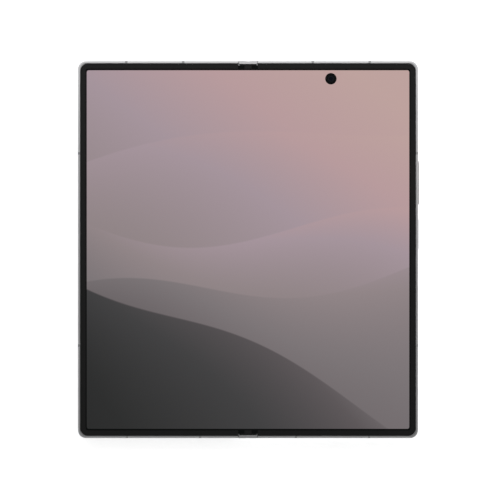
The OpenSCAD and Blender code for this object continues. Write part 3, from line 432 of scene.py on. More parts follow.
def hill_group():
    """A shader group that lays one soft hill over the light behind it."""
    tree = bpy.data.node_groups.new("soft_hill", "ShaderNodeTree")
    tree.interface.new_socket("Light", in_out="OUTPUT", socket_type="NodeSocketFloat")
    for label in ("Light", "Across", "Up", *HILL_SIZES):
        tree.interface.new_socket(label, in_out="INPUT", socket_type="NodeSocketFloat")
    given = add(tree, "NodeGroupInput").outputs
    across = given["Across"]
    turns = add(tree, "ShaderNodeMath", {0: across, 1: given["Waves"], 2: given["Phase"]},
        operation="MULTIPLY_ADD")
    angle = add(tree, "ShaderNodeMath", {0: turns, 1: 2 * math.pi}, operation="MULTIPLY")
    wave = add(tree, "ShaderNodeMath", {0: angle}, operation="SINE")
    line = add(tree, "ShaderNodeMath", {0: across, 1: given["Slope"], 2: given["Height"]},
        operation="MULTIPLY_ADD")
    ridge = add(tree, "ShaderNodeMath", {0: wave, 1: given["Swing"], 2: line}, operation="MULTIPLY_ADD")
    depth = add(tree, "ShaderNodeMath", {0: ridge, 1: given["Up"]}, operation="SUBTRACT")
    inside = add(tree, "ShaderNodeMapRange", {0: depth, 1: 0.0, 2: HILL_EDGE})
    under = add(tree, "ShaderNodeMath", {0: depth, 1: 0.0}, operation="MAXIMUM")
    faded = add(tree, "ShaderNodeMath", {0: under, 1: given["Fade"]}, operation="MULTIPLY")
    kept = add(tree, "ShaderNodeMath", {0: math.exp(-1), 1: faded}, operation="POWER")
    shade = add(tree, "ShaderNodeMix", {0: kept, 2: given["Deep"], 3: given["Crest"]})
    lean = add(tree, "ShaderNodeMath", {0: across, 1: RIGHTWARD, 2: -RIGHTWARD / 2},
        operation="MULTIPLY_ADD")
    shade = add(tree, "ShaderNodeMath", {0: shade, 1: lean}, operation="ADD")
    light = add(tree, "ShaderNodeMix", {0: inside, 2: given["Light"], 3: shade})
    add(tree, "NodeGroupOutput", {0: light})
    return tree


def lit_screen(looks):
    """The folding screen: a picture of soft hills, a dark border and the dark disc round the camera."""
    # Ultra-thin glass under a polymer film: glossy, with the lit panel right beneath.
    material, tree = new_material("lit_screen")
    uv = add(tree, "ShaderNodeUVMap", uv_map="screen")
    across, up = add(tree, "ShaderNodeSeparateXYZ", {0: uv}).outputs[:2]
    light = add(tree, "ShaderNodeMath", {0: across, 1: RIGHTWARD, 2: CORNER_LIGHT}, operation="MULTIPLY_ADD")
    light = add(tree, "ShaderNodeMath", {0: up, 1: UPWARD, 2: light}, operation="MULTIPLY_ADD")
    hill = hill_group()
    for sizes in HILLS:
        light = add(tree, "ShaderNodeGroup", {"Light": light, "Across": across, "Up": up,
            **dict(zip(HILL_SIZES, sizes))}, node_tree=hill)
    picture = add(tree, "ShaderNodeValToRGB", {"Fac": light})
    stops = picture.color_ramp.elements
    stops[0].color, stops[1].color = linear(PICTURE[0][1]), linear(PICTURE[-1][1])
    for at, code in PICTURE[1:-1]:
        stops.new(at).color = linear(code)

    size = (2 * SCREEN_HIGH.x, 2 * SCREEN_HIGH.y, 0)
    place = add(tree, "ShaderNodeVectorMath", {0: uv, 1: (0.5, 0.5, 0)}, operation="SUBTRACT")
    place = add(tree, "ShaderNodeVectorMath", {0: place, 1: size}, operation="MULTIPLY")
    corner = looks.lit_corner
    inner = (looks.lit_width / 2 - corner, looks.lit_height / 2 - corner, 0)
    away = add(tree, "ShaderNodeVectorMath", {0: place}, operation="ABSOLUTE")
    away = add(tree, "ShaderNodeVectorMath", {0: away, 1: inner}, operation="SUBTRACT")
    away = add(tree, "ShaderNodeVectorMath", {0: away, 1: (0, 0, 0)}, operation="MAXIMUM")
    away = add(tree, "ShaderNodeVectorMath", {0: away}, operation="LENGTH").outputs["Value"]
    within = add(tree, "ShaderNodeMath", {0: away, 1: corner}, operation="LESS_THAN")
    camera_low, camera_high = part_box("inner_camera")
    centre = ((camera_low.x + camera_high.x) / 2, (camera_low.y + camera_high.y) / 2, 0)
    spot = add(tree, "ShaderNodeVectorMath", {0: place, 1: centre}, operation="DISTANCE").outputs["Value"]
    share = add(tree, "ShaderNodeMath", {0: spot, 1: looks.hole_width / 2}, operation="DIVIDE")
    beside = add(tree, "ShaderNodeMath", {0: share, 1: 1.0}, operation="GREATER_THAN")
    lit = add(tree, "ShaderNodeMath", {0: within, 1: beside}, operation="MULTIPLY")
    glow = add(tree, "ShaderNodeMix", {0: lit, 6: (0, 0, 0, 1), 7: picture}, data_type="RGBA").outputs[2]
    lens = add(tree, "ShaderNodeValToRGB", {"Fac": share})
    rings = lens.color_ramp.elements
    rings[0].color, rings[1].color = linear("#0A0D16"), linear("#0D0F0F")
    for at, code in ((0.3, "#070910"), (0.44, "#1B1D22"), (0.52, "#0B0C0D")):
        rings.new(at).color = linear(code)
    return finished(material, base_color=lens, emission_color=glow, emission_strength=looks.brightness,
        roughness=0.09, ior=1.49, specular_ior_level=0.3)


# Materials by the record's slot, and those of a few finer pieces by their own names
FINISHES = {}


def make_finishes(body, screen):
    """Makes the materials for all of the record's slots, and for the finer pieces."""
    FINISHES.update(grained_finishes(body))
    FINISHES.update(
        cover_glass=printed_glass(), outer_panel=outer_panel(), inner_panel=lit_screen(screen),
        lens_glass=lens_glass(), flash_lens=flash_diffuser(), circuit_board=circuit_board(),
        flex_film=polyimide_film(), coated_lens=coated_lens())


# ---------------------------------------------------------------- meshes

def arc(x, y, radius, start, sweep, steps):
    """Points on an arc round a centre, from a start angle over a sweep in degrees."""
    angles = [math.radians(start + sweep * i / steps) for i in range(steps + 1)]
    return [(x + radius * math.cos(a), y + radius * math.sin(a)) for a in angles]


def half_outline(x0, x1, y, radius, inset=0.0, steps=10):
    """One half's outline, anticlockwise: square at the fold, round at the outer corners."""
    x1, y, radius = x1 - inset, y - inset, max(radius - inset, 0.02 * MM)
    lower = arc(x1 - radius, radius - y, radius, -90, 90, steps)
    return [(x0, y), (x0, -y)] + lower + arc(x1 - radius, y - radius, radius, 0, 90, steps)


def stadium(width, height, inset=0.0, steps=12):
    """A bar with round ends, anticlockwise and centred, its length along the first axis."""
    middle = (width - height) / 2
    radius = height / 2 - inset
    return arc(middle, 0, radius, -90, 180, steps) + arc(-middle, 0, radius, 90, 180, steps)


def box(x, y, reach_x, reach_y):
    """A rectangle round a centre, anticlockwise, from its reach each way."""
    return [(x - reach_x, y - reach_y), (x + reach_x, y - reach_y), (x + reach_x, y + reach_y),
        (x - reach_x, y + reach_y)]


def rounded(outline, low, high, low_round, high_round, steps=5):
    """Levels of a slab with rounded edges. outline gives the points for an inset."""
    angles = [math.radians(90 * i / steps) for i in range(steps + 1)]
    levels = [(outline(low_round * (1 - math.sin(a))), low + low_round * (1 - math.cos(a))) for a in angles]
    levels += [(outline(high_round * (1 - math.cos(a))), high - high_round * (1 - math.sin(a)))
        for a in angles]
    return levels


def stack(levels, turn=UNTURNED):
    """A closed solid through outlines at rising heights."""
    solid = bmesh.new()
    rings = [[solid.verts.new((x, y, z)) for x, y in points] for points, z in levels]
    solid.faces.new(reversed(rings[0]))
    solid.faces.new(rings[-1])
    for lower, upper in zip(rings, rings[1:]):
        for i, corner in enumerate(lower):
            j = (i + 1) % len(lower)
            solid.faces.new((corner, lower[j], upper[j], upper[i]))
    bmesh.ops.remove_doubles(solid, verts=solid.verts, dist=SAME_PLACE)
    solid.transform(turn)
    return solid


def strips(spans, low, high, side):
    """Flat strips with a column of faces from each x to the next. spans holds each strip's columns, as
    x and the lowest and highest y there. For side -1 they are mirrored across the fold."""
    solid = bmesh.new()
    for columns in spans:
        rings = [[solid.verts.new((x, *corner)) for corner in ((y0, low), (y1, low), (y1, high), (y0, high))]
            for x, y0, y1 in columns]
        solid.faces.new(rings[0])
        solid.faces.new(reversed(rings[-1]))
        for a, b in zip(rings, rings[1:]):
            for i in range(4):
                j = (i + 1) % 4
                solid.faces.new((a[i], b[i], b[j], a[j]))
    bmesh.ops.recalc_face_normals(solid, faces=solid.faces)
    return mirrored(solid, side)


def turned(profile, centre, steps):
    """A solid turned about an upright axis through centre, from points of radius and height."""
    solid = bmesh.new()
    angles = [2 * math.pi * i / steps for i in range(steps)]
    rings = []
    for radius, z in profile:
        if radius < SAME_PLACE:
            rings.append([solid.verts.new((centre[0], centre[1], z))] * steps)
        else:
            rings.append([solid.verts.new(
                (centre[0] + radius * math.cos(a), centre[1] + radius * math.sin(a), z)) for a in angles])
    has_bore = profile[0][0] > SAME_PLACE
    for a, b in zip(rings, rings[1:] + rings[:1] if has_bore else rings[1:]):
        for i in range(steps):
            j = (i + 1) % steps
            corners = list(dict.fromkeys((a[i], a[j], b[j], b[i])))
            if len(corners) > 2:
                solid.faces.new(corners)
    bmesh.ops.recalc_face_normals(solid, faces=solid.faces)
    return solid


def mirrored(solid, side):
    """The same solid, or for side -1 its mirror image across the fold."""
    if side < 0:
        solid.transform(Matrix.Scale(-1, 4, (1, 0, 0)))
        bmesh.ops.reverse_faces(solid, faces=solid.faces)
    return solid


def piece(name, solid, material):
    """A bmesh as a new object with one material."""
    mesh = bpy.data.meshes.new(name)
    solid.to_mesh(mesh)
    solid.free()
    if "custom_normal" in mesh.attributes:
        mesh.attributes.remove(mesh.attributes["custom_normal"])
    mesh.materials.append(material)
    made = bpy.data.objects.new(name, mesh)
    bpy.context.scene.collection.objects.link(made)
    return made


def node_copy(node):
    """A CAD node's shape as a bmesh with its loose triangles joined."""
    solid = bmesh.new()
    solid.from_mesh(frame["nodes"][node].data)
    bmesh.ops.remove_doubles(solid, verts=solid.verts, dist=SAME_PLACE)
    return solid


def trimmed(made, room):
    """Cuts a piece back to what lies in a solid, then merges its slivers and flat faces."""
    helper = piece("room", room, made.data.materials[0])
    boolean = made.modifiers.new("room", "BOOLEAN")
    boolean.operation, boolean.object, boolean.solver = "INTERSECT", helper, "EXACT"
    bake(made)
    bpy.data.objects.remove(helper)
    if not made.data.polygons:
        raise RuntimeError(f"{made.name} came out empty")
    solid = bmesh.new()
    solid.from_mesh(made.data)
    bmesh.ops.remove_doubles(solid, verts=solid.verts, dist=SLIVER)
    bmesh.ops.dissolve_degenerate(solid, edges=solid.edges, dist=SLIVER)
    bmesh.ops.dissolve_limit(solid, angle_limit=math.radians(0.5), verts=solid.verts, edges=solid.edges)
    solid.to_mesh(made.data)
    solid.free()
    return crisp(made)


def bake(made):
    """Turns a piece and its modifiers into a plain mesh."""
    bpy.context.view_layer.update()
    result = bpy.data.meshes.new_from_object(made.evaluated_get(bpy.context.evaluated_depsgraph_get()))
    made.modifiers.clear()
    made.data = result
    result.name = made.name


def smooth(made, angle):
    """Smooth shading with sharp edges above an angle in degrees."""
    solid = bmesh.new()
    solid.from_mesh(made.data)
    for face in solid.faces:
        face.smooth = True
    for edge in solid.edges:
        edge.smooth = edge.calc_face_angle(0) < math.radians(angle)
    solid.to_mesh(made.data)
    solid.free()
    return made


def crisp(made):
    """Smooth shading in which a flat face stays flat up to the rounding beside it."""
    smooth(made, 32)
    weighted = made.modifiers.new("normals", "WEIGHTED_NORMAL")
    weighted.keep_sharp, weighted.weight = True, 100
    bake(made)
    return made


def seat(made, body, slot, *nodes):
    """Says what a finished piece rides on and hides the nodes that it stands for. slot, its finish, is not
    used.
    """
    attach(made, body)
    if nodes:
        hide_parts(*nodes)


def seat_bent(made, body, start, end, slot, *nodes):
    """Bakes the place of a piece that lies between a half and the spine into its mesh and hides the nodes
    that it stands for. body, start, end and slot are not used.
    """
    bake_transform(made)
    if nodes:
        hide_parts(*nodes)


# ---------------------------------------------------------------- pieces

class PHONE_OT_finishes(bpy.types.Operator):
    """Gives every CAD node a finish made for its material"""
    bl_idname = "phone.finishes"
    bl_label = "Finishes"

    def execute(self, context):
        make_finishes(context.scene.phone_body, context.scene.phone_screen)
        for part in frame["record"]["subparts"]:
            for held in frame["nodes"][part["node"]].material_slots:
                held.material = FINISHES[part["material_slot"]]
        return {"FINISHED"}


class PHONE_OT_bands(bpy.types.Operator):
    """Rounds the metal bands, the antenna inserts in them and the ends of the spine"""
    bl_idname = "phone.bands"
    bl_label = "Metal bands"

    def execute(self, context):
        sizes = context.scene.phone_body
        edge = sizes.edge_radius

        def half(inset):
            return half_outline(-MM, FRAME_HIGH.x, FRAME_HIGH.y, sizes.corner_radius, inset)

        levels = rounded(half, FRAME_LOW.z, FRAME_HIGH.z, edge, edge)
        for word, side in HALVES:
            for made_name, node, slot in (("band", "frame", "frame_metal"),
                    ("inserts", "antenna_inserts", "antenna_plastic")):
                made = piece(f"{word}_{made_name}", node_copy(f"{word}_{node}"), FINISHES[slot])
                trimmed(made, mirrored(stack(levels), side))
                seat(made, f"{word}_half", slot, f"{word}_{node}")

        def whole(inset):
            return box(0, 0, FRAME_HIGH.x, FRAME_HIGH.y - inset)

        ends = piece("spine_ends", node_copy("spine_end_caps"), FINISHES["frame_metal"])
        trimmed(ends, stack(rounded(whole, -MM, FRAME_HIGH.z, 0, edge)))
        seat(ends, "hinge_spine", "frame_metal", "spine_end_caps")
        return {"FINISHED"}


class PHONE_OT_bezels(bpy.types.Operator):
    """Rounds the soft border round the inner screen"""
    bl_idname = "phone.bezels"
    bl_label = "Bezels"

    def execute(self, context):
        sizes = context.scene.phone_body

        def half(inset):
            return half_outline(BEZEL_LOW.x, BEZEL_HIGH.x, BEZEL_HIGH.y, sizes.corner_radius, inset)

        levels = rounded(half, BEZEL_LOW.z - MM, BEZEL_HIGH.z, 0.1 * MM, sizes.bezel_edge, steps=4)
        for word, side in HALVES:
            made = piece(f"{word}_border", node_copy(f"{word}_bezel"), FINISHES["bezel_polymer"])
            trimmed(made, mirrored(stack(levels), side))
            seat(made, f"{word}_half", "bezel_polymer", f"{word}_bezel")
        return {"FINISHED"}


class PHONE_OT_screen(bpy.types.Operator):
    """Makes the folding screen as two sheets that meet on the fold, with fine columns of faces across the
    bend
    """
    bl_idname = "phone.screen"
    bl_label = "Folding screen"

    def execute(self, context):
        looks = context.scene.phone_screen
        level = SCREEN_LOW.z
        middle_x, middle_y = SCREEN_HIGH.x - SCREEN_CORNER, SCREEN_HIGH.y - SCREEN_CORNER
        xs = [BEND_HIGH.x * i / looks.bend_columns for i in range(looks.bend_columns + 1)]
        xs += [BEND_HIGH.x + (middle_x - BEND_HIGH.x) * i / 8 for i in range(1, 9)]
        spans = [(x, SCREEN_HIGH.y) for x in xs]
        spans += arc(middle_x, middle_y, SCREEN_CORNER, 90, -90, 6)[1:]
        columns = [(x, -y, y) for x, y in spans]
        nodes = {"main": ("main_screen", "bend_screen"), "cover": ("inner_cover_screen",)}
        for word, side in HALVES:
            sheet = strips([columns], level, SCREEN_HIGH.z, side)
            made = piece(f"{word}_display", sheet, FINISHES["inner_panel"])
            self.unwrap(made.data)
            smooth(made, 40)
            seat_bent(made, f"{word}_half", (side * BEND_HIGH.x, 0, level), (0, 0, level), "inner_panel",
                *nodes[word])
        return {"FINISHED"}

    def unwrap(self, mesh):
        """Lays the picture over both sheets as one, in shares of the whole screen."""
        layer = mesh.uv_layers.new(name="screen")
        for loop in mesh.loops:
            x, y, z = mesh.vertices[loop.vertex_index].co
            layer.data[loop.index].uv = (x / (2 * SCREEN_HIGH.x) + 0.5, y / (2 * SCREEN_HIGH.y) + 0.5)


# The rear cameras from the lowest up, and the radius of each one's barrel in millimetres
REAR_CAMERAS = (("tele_camera", 4.7), ("wide_camera", 5.0), ("ultrawide_camera", 4.4))
# Steps inside a barrel from its bottom out: share of its radius, and millimetres behind its front
BARREL_STEPS = ((0, 1.35), (0.56, 1.35), (0.56, 0.95), (0.66, 0.85), (0.66, 0.62), (0.76, 0.5),
    (0.76, 0.32), (0.88, 0.18), (0.88, 0.0), (1.0, 0.0))


class PHONE_OT_cameras(bpy.types.Operator):
    """Makes the island, the turned rings and the lens stacks of the rear cameras"""
    bl_idname = "phone.cameras"
    bl_label = "Rear cameras"

    def execute(self, context):
        sizes = context.scene.phone_cameras
        low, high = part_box("camera_island")
        centre = (low + high) / 2
        self.island(sizes, centre, low, high)

        ring_low, ring_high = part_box("lens_rings")
        width = ring_high.x - ring_low.x
        pitch = (ring_high.y - ring_low.y - width) / 2
        profile = self.ring_profile(width / 2, sizes.ring_edge, ring_low.z, ring_high.z)
        for i, (camera, radius) in enumerate(REAR_CAMERAS):
            place = (centre.x, centre.y + (i - 1) * pitch)
            ring = piece(f"lens_ring_{i + 1}", turned(profile, place, sizes.steps), FINISHES["frame_metal"])
            seat(smooth(ring, 25), "main_half", "frame_metal", *(["lens_rings"] if i == 0 else []))
            self.camera(camera, radius * MM, place, sizes.steps)
        return {"FINISHED"}

    def island(self, sizes, centre, low, high):
        """The raised island, round at both ends, over the wider flange that holds it in the glass."""
        glass_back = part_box("main_back_glass")[0].z
        width = 2 * (FRAME_HIGH.x - centre.x - ISLAND_MARGIN)
        flange = high.x - low.x - width
        height = high.y - low.y - flange
        spare, sink = 3 * MM, 0.45 * MM
        wide = stadium(height + spare, width + spare)
        room = rounded(lambda inset: stadium(height, width, inset), low.z, glass_back, sizes.island_edge, 0)
        room += [(wide, glass_back + sink), (wide, high.z + MM)]
        turn = Matrix.Translation((centre.x, centre.y, 0)) @ Matrix.Rotation(math.pi / 2, 4, "Z")
        made = piece("island", node_copy("camera_island"), FINISHES["frame_metal"])
        seat(trimmed(made, stack(room, turn)), "main_half", "frame_metal", "camera_island")

    def ring_profile(self, outer, edge, low, high):
        """Radius and height round a lens ring: a bevel, a rounded edge, a fine groove and a ledge that
        holds the window."""
        bevel, groove, ledge = 0.3 * MM, 0.06 * MM, 0.36 * MM
        groove_low, groove_high = low + 0.6 * MM, low + 0.8 * MM
        window_low, window_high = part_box("lens_windows")
        inner = (window_high.x - window_low.x) / 2 + 0.02 * MM
        profile = [(inner, low + bevel), (inner + bevel, low)]
        profile += arc(outer - edge, low + edge, edge, -90, 90, 6)
        profile += [(outer, groove_low), (outer - groove, groove_low + groove),
            (outer - groove, groove_high - groove), (outer, groove_high), (outer, high),
            (inner - ledge, high), (inner - ledge, window_high.z), (inner, window_high.z)]
        return profile

    def camera(self, node, radius, place, steps):
        """A camera: stepped black barrel, housing and coated front element."""
        low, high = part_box(node)
        housing = (high.x - low.x) / 2
        gap, sink, case_edge = 0.02 * MM, 0.01 * MM, 0.2 * MM
        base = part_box("camera_island")[1].z + gap
        profile = [(radius * share, low.z + depth * MM) for share, depth in BARREL_STEPS]
        profile += [(radius, base + sink), (0, base + sink)]
        barrel = turned(profile, place, steps)
        case = stack(rounded(lambda inset: box(*place, housing - inset, housing - inset), base, high.z,
            case_edge, case_edge, steps=2))

        lens_radius, bulge, rim = 0.55 * radius, 0.58 * MM, low.z + 1.3 * MM
        angles = [math.radians(a) for a in range(15, 91, 15)]
        dome = [(lens_radius * math.sin(a), rim - bulge * math.cos(a)) for a in angles]
        lens = turned([(0, rim - bulge), *dome, (0, rim)], place, steps)

        barrel = piece(node.replace("camera", "barrel"), barrel, FINISHES["camera_housing"])
        case = piece(node.replace("camera", "case"), case, FINISHES["camera_housing"])
        lens = piece(node.replace("camera", "element"), lens, FINISHES["coated_lens"])
        seat(smooth(barrel, 25), "main_half", "camera_housing", node)
        seat(crisp(case), "main_half", "camera_housing")
        seat(smooth(lens, 60), "main_half", "lens_glass")


class PHONE_OT_keys(bpy.types.Operator):
    """Makes the two keys with rounded outer edges"""
    bl_idname = "phone.keys"
    bl_label = "Keys"

    def execute(self, context):
        sizes = context.scene.phone_body
        spare = 0.2 * MM
        flange_front, face_back = FRAME_HIGH.x - 0.9 * MM, FRAME_HIGH.x - 0.6 * MM
        for node in ("volume_key", "side_key"):
            low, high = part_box(node)
            centre = (low + high) / 2
            face_length = high.y - low.y - 2 * sizes.key_flange
            wide = stadium(high.y - low.y + 2 * spare, high.z - low.z + 2 * spare)
            room = [(wide, low.x - spare), (wide, flange_front)]
            room += rounded(lambda inset: stadium(face_length, sizes.key_height, inset), face_back, high.x,
                0, sizes.key_edge)
            turn = Matrix.Translation((0, centre.y, centre.z)) @ ALONG_X
            made = piece(node.replace("key", "button"), node_copy(node), FINISHES["frame_metal"])
            seat(trimmed(made, stack(room, turn)), node, "frame_metal", node)
        return {"FINISHED"}


# ---------------------------------------------------------------- repeats

def tree_with(name, **inputs):
    """A new Geometry Nodes tree, the outputs of its input node, and its inputs' identifiers. Words in
    inputs name the inputs and hold their kinds."""
    tree = bpy.data.node_groups.new(name, "GeometryNodeTree")
    tree.interface.new_socket("Geometry", in_out="OUTPUT", socket_type="NodeSocketGeometry")
    identifiers = {}
    for word, kind in {**inputs, "material": "Material"}.items():
        label = word.replace("_", " ").capitalize()
        socket = tree.interface.new_socket(label, in_out="INPUT", socket_type=f"NodeSocket{kind}")
        identifiers[word] = socket.identifier
    return tree, add(tree, "NodeGroupInput").outputs, identifiers


def finish_tree(tree, geometry, material):
    """Ends a tree in plain geometry with its material."""
    real = add(tree, "GeometryNodeRealizeInstances", {0: geometry})
    done = add(tree, "GeometryNodeSetMaterial", {"Geometry": real, "Material": material})
    add(tree, "NodeGroupOutput", {0: done})


def row_tree():
    """Blocks in a straight row, such as contacts."""
    tree, given, identifiers = tree_with("row_of_blocks", count="Int", start="Vector", step="Vector",
        size="Vector")
    line = add(tree, "GeometryNodeMeshLine", {"Count": given["Count"], "Start Location": given["Start"],
        "Offset": given["Step"]})
    block = add(tree, "GeometryNodeMeshCube", {"Size": given["Size"]})
    copies = add(tree, "GeometryNodeInstanceOnPoints", {"Points": line, "Instance": block})
    finish_tree(tree, copies, given["Material"])
    return tree, identifiers


def coil_tree():
    """Turns of wire side by side, as rings of growing size."""
    tree, given, identifiers = tree_with("turns_of_wire", turns="Int", inner_radius="Float",
        pitch="Float", wire_radius="Float", centre="Vector")
    line = add(tree, "GeometryNodeMeshLine", {"Count": given["Turns"], "Start Location": given["Centre"],
        "Offset": (0, 0, 0)})
    index = add(tree, "GeometryNodeInputIndex")
    radius = add(tree, "ShaderNodeMath", {0: index, 1: given["Pitch"], 2: given["Inner radius"]},
        operation="MULTIPLY_ADD")
    size = add(tree, "ShaderNodeCombineXYZ", {0: radius, 1: radius, 2: 1.0})
    ring = add(tree, "GeometryNodeCurvePrimitiveCircle", {"Resolution": 96, "Radius": 1.0})
    copies = add(tree, "GeometryNodeInstanceOnPoints", {"Points": line, "Instance": ring, "Scale": size})
    rings = add(tree, "GeometryNodeRealizeInstances", {0: copies})
    section = add(tree, "GeometryNodeCurvePrimitiveCircle", {"Resolution": 6,
        "Radius": given["Wire radius"]})
    wire = add(tree, "GeometryNodeCurveToMesh", {"Curve": rings, "Profile Curve": section})
    finish_tree(tree, wire, given["Material"])
    return tree, identifiers


def components_tree():
    """Small components in rows on a board, each with its own size."""
    tree, given, identifiers = tree_with("rows_of_components", columns="Int", rows="Int", area="Vector",
        centre="Vector", height="Float", seed="Int")
    area = add(tree, "ShaderNodeSeparateXYZ", {0: given["Area"]}).outputs
    grid = add(tree, "GeometryNodeMeshGrid", {"Size X": area[0], "Size Y": area[1],
        "Vertices X": given["Columns"], "Vertices Y": given["Rows"]})
    placed = add(tree, "GeometryNodeTransform", {"Geometry": grid, "Translation": given["Centre"]})
    # Each component's size lies between the smallest and the largest
    low = add(tree, "ShaderNodeCombineXYZ", {0: 0.5 * MM, 1: 0.4 * MM, 2: 0.2 * MM})
    high = add(tree, "ShaderNodeCombineXYZ", {0: 1.6 * MM, 1: 1.2 * MM, 2: given["Height"]})
    size = add(tree, "FunctionNodeRandomValue", {0: low, 1: high, "Seed": given["Seed"]},
        data_type="FLOAT_VECTOR")
    block = add(tree, "GeometryNodeMeshCube", {"Size": (1, 1, 1)})
    upright = add(tree, "GeometryNodeTransform", {"Geometry": block, "Translation": (0, 0, 0.5)})
    copies = add(tree, "GeometryNodeInstanceOnPoints", {"Points": placed, "Instance": upright,
        "Scale": size})
    finish_tree(tree, copies, given["Material"])
    return tree, identifiers


def grown(name, tree, identifiers, material, **values):
    """A piece made by a Geometry Nodes tree, as a plain mesh."""
    made = bpy.data.objects.new(name, bpy.data.meshes.new(name))
    bpy.context.scene.collection.objects.link(made)
    nodes = made.modifiers.new("nodes", "NODES")
    nodes.node_group = tree
    for word, value in {**values, "material": material}.items():
        nodes[identifiers[word]] = value
    bake(made)
    return made


class PHONE_OT_openings(bpy.types.Operator):
    """Makes the port's contacts and the dust screens behind the sound holes"""
    bl_idname = "phone.openings"
    bl_label = "Port and sound holes"

    def execute(self, context):
        sizes = context.scene.phone_openings
        contact_thickness, mesh_thickness = 0.05 * MM, 0.06 * MM
        row, identifiers = row_tree()
        low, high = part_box("port_tongue")
        middle_x = (low.x + high.x) / 2
        pitch = sizes.contact_pitch
        size = (sizes.contact_width, sizes.contact_length, contact_thickness)
        for word, z in (("upper", high.z), ("lower", low.z)):
            start = (middle_x - (sizes.contacts - 1) / 2 * pitch,
                low.y + sizes.contact_inset + size[1] / 2, z)
            made = grown(f"{word}_contacts", row, identifiers, FINISHES["gold_contact"],
                count=sizes.contacts, start=start, step=(pitch, 0, 0), size=size)
            seat(made, "main_half", "port_plastic")

        level = (FRAME_LOW.z + FRAME_HIGH.z) / 2
        y = FRAME_HIGH.y - sizes.screen_depth
        size = (sizes.screen_width, mesh_thickness, sizes.screen_width)
        for name, body, x, edge, holes in (
                ("main_speaker_screens", "main_half", sizes.speaker, -1, 5),
                ("main_lower_mic_screen", "main_half", sizes.lower_mic, -1, 1),
                ("main_upper_mic_screen", "main_half", sizes.upper_mic, 1, 1),
                ("cover_speaker_screens", "cover_half", -sizes.speaker, 1, 5),
                ("cover_mic_screen", "cover_half", -sizes.lower_mic, -1, 1)):
            start = (x - (holes - 1) / 2 * sizes.hole_pitch, edge * y, level)
            made = grown(name, row, identifiers, FINISHES["port_plastic"], count=holes, start=start,
                step=(sizes.hole_pitch, 0, 0), size=size)
            seat(made, body, "port_plastic")
        return {"FINISHED"}


# Rows of small components: the board and the half that it is in, the rows' centre and area in
# millimetres, the count each way and the seed of their sizes
COMPONENT_ROWS = (
    ("main_board", "main_half", (36, 59), (14, 12), (7, 9), 3),
    ("port_board", "main_half", (40, -60), (16, 3), (9, 2), 7),
    ("cover_board", "cover_half", (-39, 50), (50, 26), (20, 13), 11),
)


class PHONE_OT_inside(bpy.types.Operator):
    """Makes the coil's turns, the components on the boards and the flat cables across the fold"""
    bl_idname = "phone.inside"
    bl_label = "Inside"

    def execute(self, context):
        sizes = context.scene.phone_inside
        self.coil(sizes)
        tree, identifiers = components_tree()
        for board, body, centre, area, counts, seed in COMPONENT_ROWS:
            made = grown(f"{board}_components", tree, identifiers, FINISHES["camera_housing"],
                columns=counts[0], rows=counts[1], area=(area[0] * MM, area[1] * MM, 0),
                centre=(centre[0] * MM, centre[1] * MM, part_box(board)[1].z),
                height=sizes.component_height, seed=seed)
            seat(made, body, "camera_housing")
        self.cables(sizes)
        return {"FINISHED"}

    def coil(self, sizes):
        """The charging coil's turns, as many as the room between its bore and its edge takes."""
        low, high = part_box("charging_coil")
        wire = (high.z - low.z) / 2
        inner, outer = sizes.coil_bore, (high.x - low.x) / 2
        pitch = 2 * wire * sizes.wire_spacing
        tree, identifiers = coil_tree()
        made = grown("coil_turns", tree, identifiers, FINISHES["copper_coil"],
            turns=int((outer - inner) / pitch), inner_radius=inner + wire, pitch=pitch, wire_radius=wire,
            centre=tuple((low + high) / 2))
        seat(smooth(made, 60), "main_half", "copper_coil", "charging_coil")

    def cables(self, sizes):
        """The two flat cables, each in two strips from the fold to their ends in one half."""
        low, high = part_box("hinge_flex_cables")
        width, bend = sizes.cable_width, sizes.cable_bend
        xs = [bend * i / sizes.cable_columns for i in range(sizes.cable_columns + 1)] + [high.x]
        spans = [[(x, y, y + width) for x in xs] for y in (low.y, high.y - width)]
        for word, side in HALVES:
            made = piece(f"{word}_cables", strips(spans, low.z, high.z, side), FINISHES["flex_film"])
            smooth(made, 40)
            seat_bent(made, f"{word}_half", (side * bend, 0, low.z), (0, 0, low.z), "flex_film",
                *(["hinge_flex_cables"] if side > 0 else []))


# ---------------------------------------------------------------- stage

# Soft boxes: name, place, the point that it faces, width and height, and power
LIGHTS = (
    ("light_top", (0.1, 1.3, 0.8), (0, 0, 0), (1.8, 0.7), 1.2),
    ("light_right", (1.3, 0.1, 0.8), (0, 0, 0), (1.4, 0.6), 1.0),
    ("light_left", (-1.3, 0.7, 0.8), (0, 0, 0), (1.0, 0.6), 0.8),
    ("light_near", (0, 0.3, 0.25), (0, 0.3, 0), (0.5, 0.4), 0.8),
)
# The sky's grey by height, from the horizon to straight overhead. Its strength grows towards the top edge.
SKY = ((0.0, 0.8), (0.3, 0.75), (0.6, 0.65), (0.95, 0.4), (0.985, 0.1), (1.0, 0.1))
SKY_STRENGTH, SKY_LEAN = 0.85, 0.25


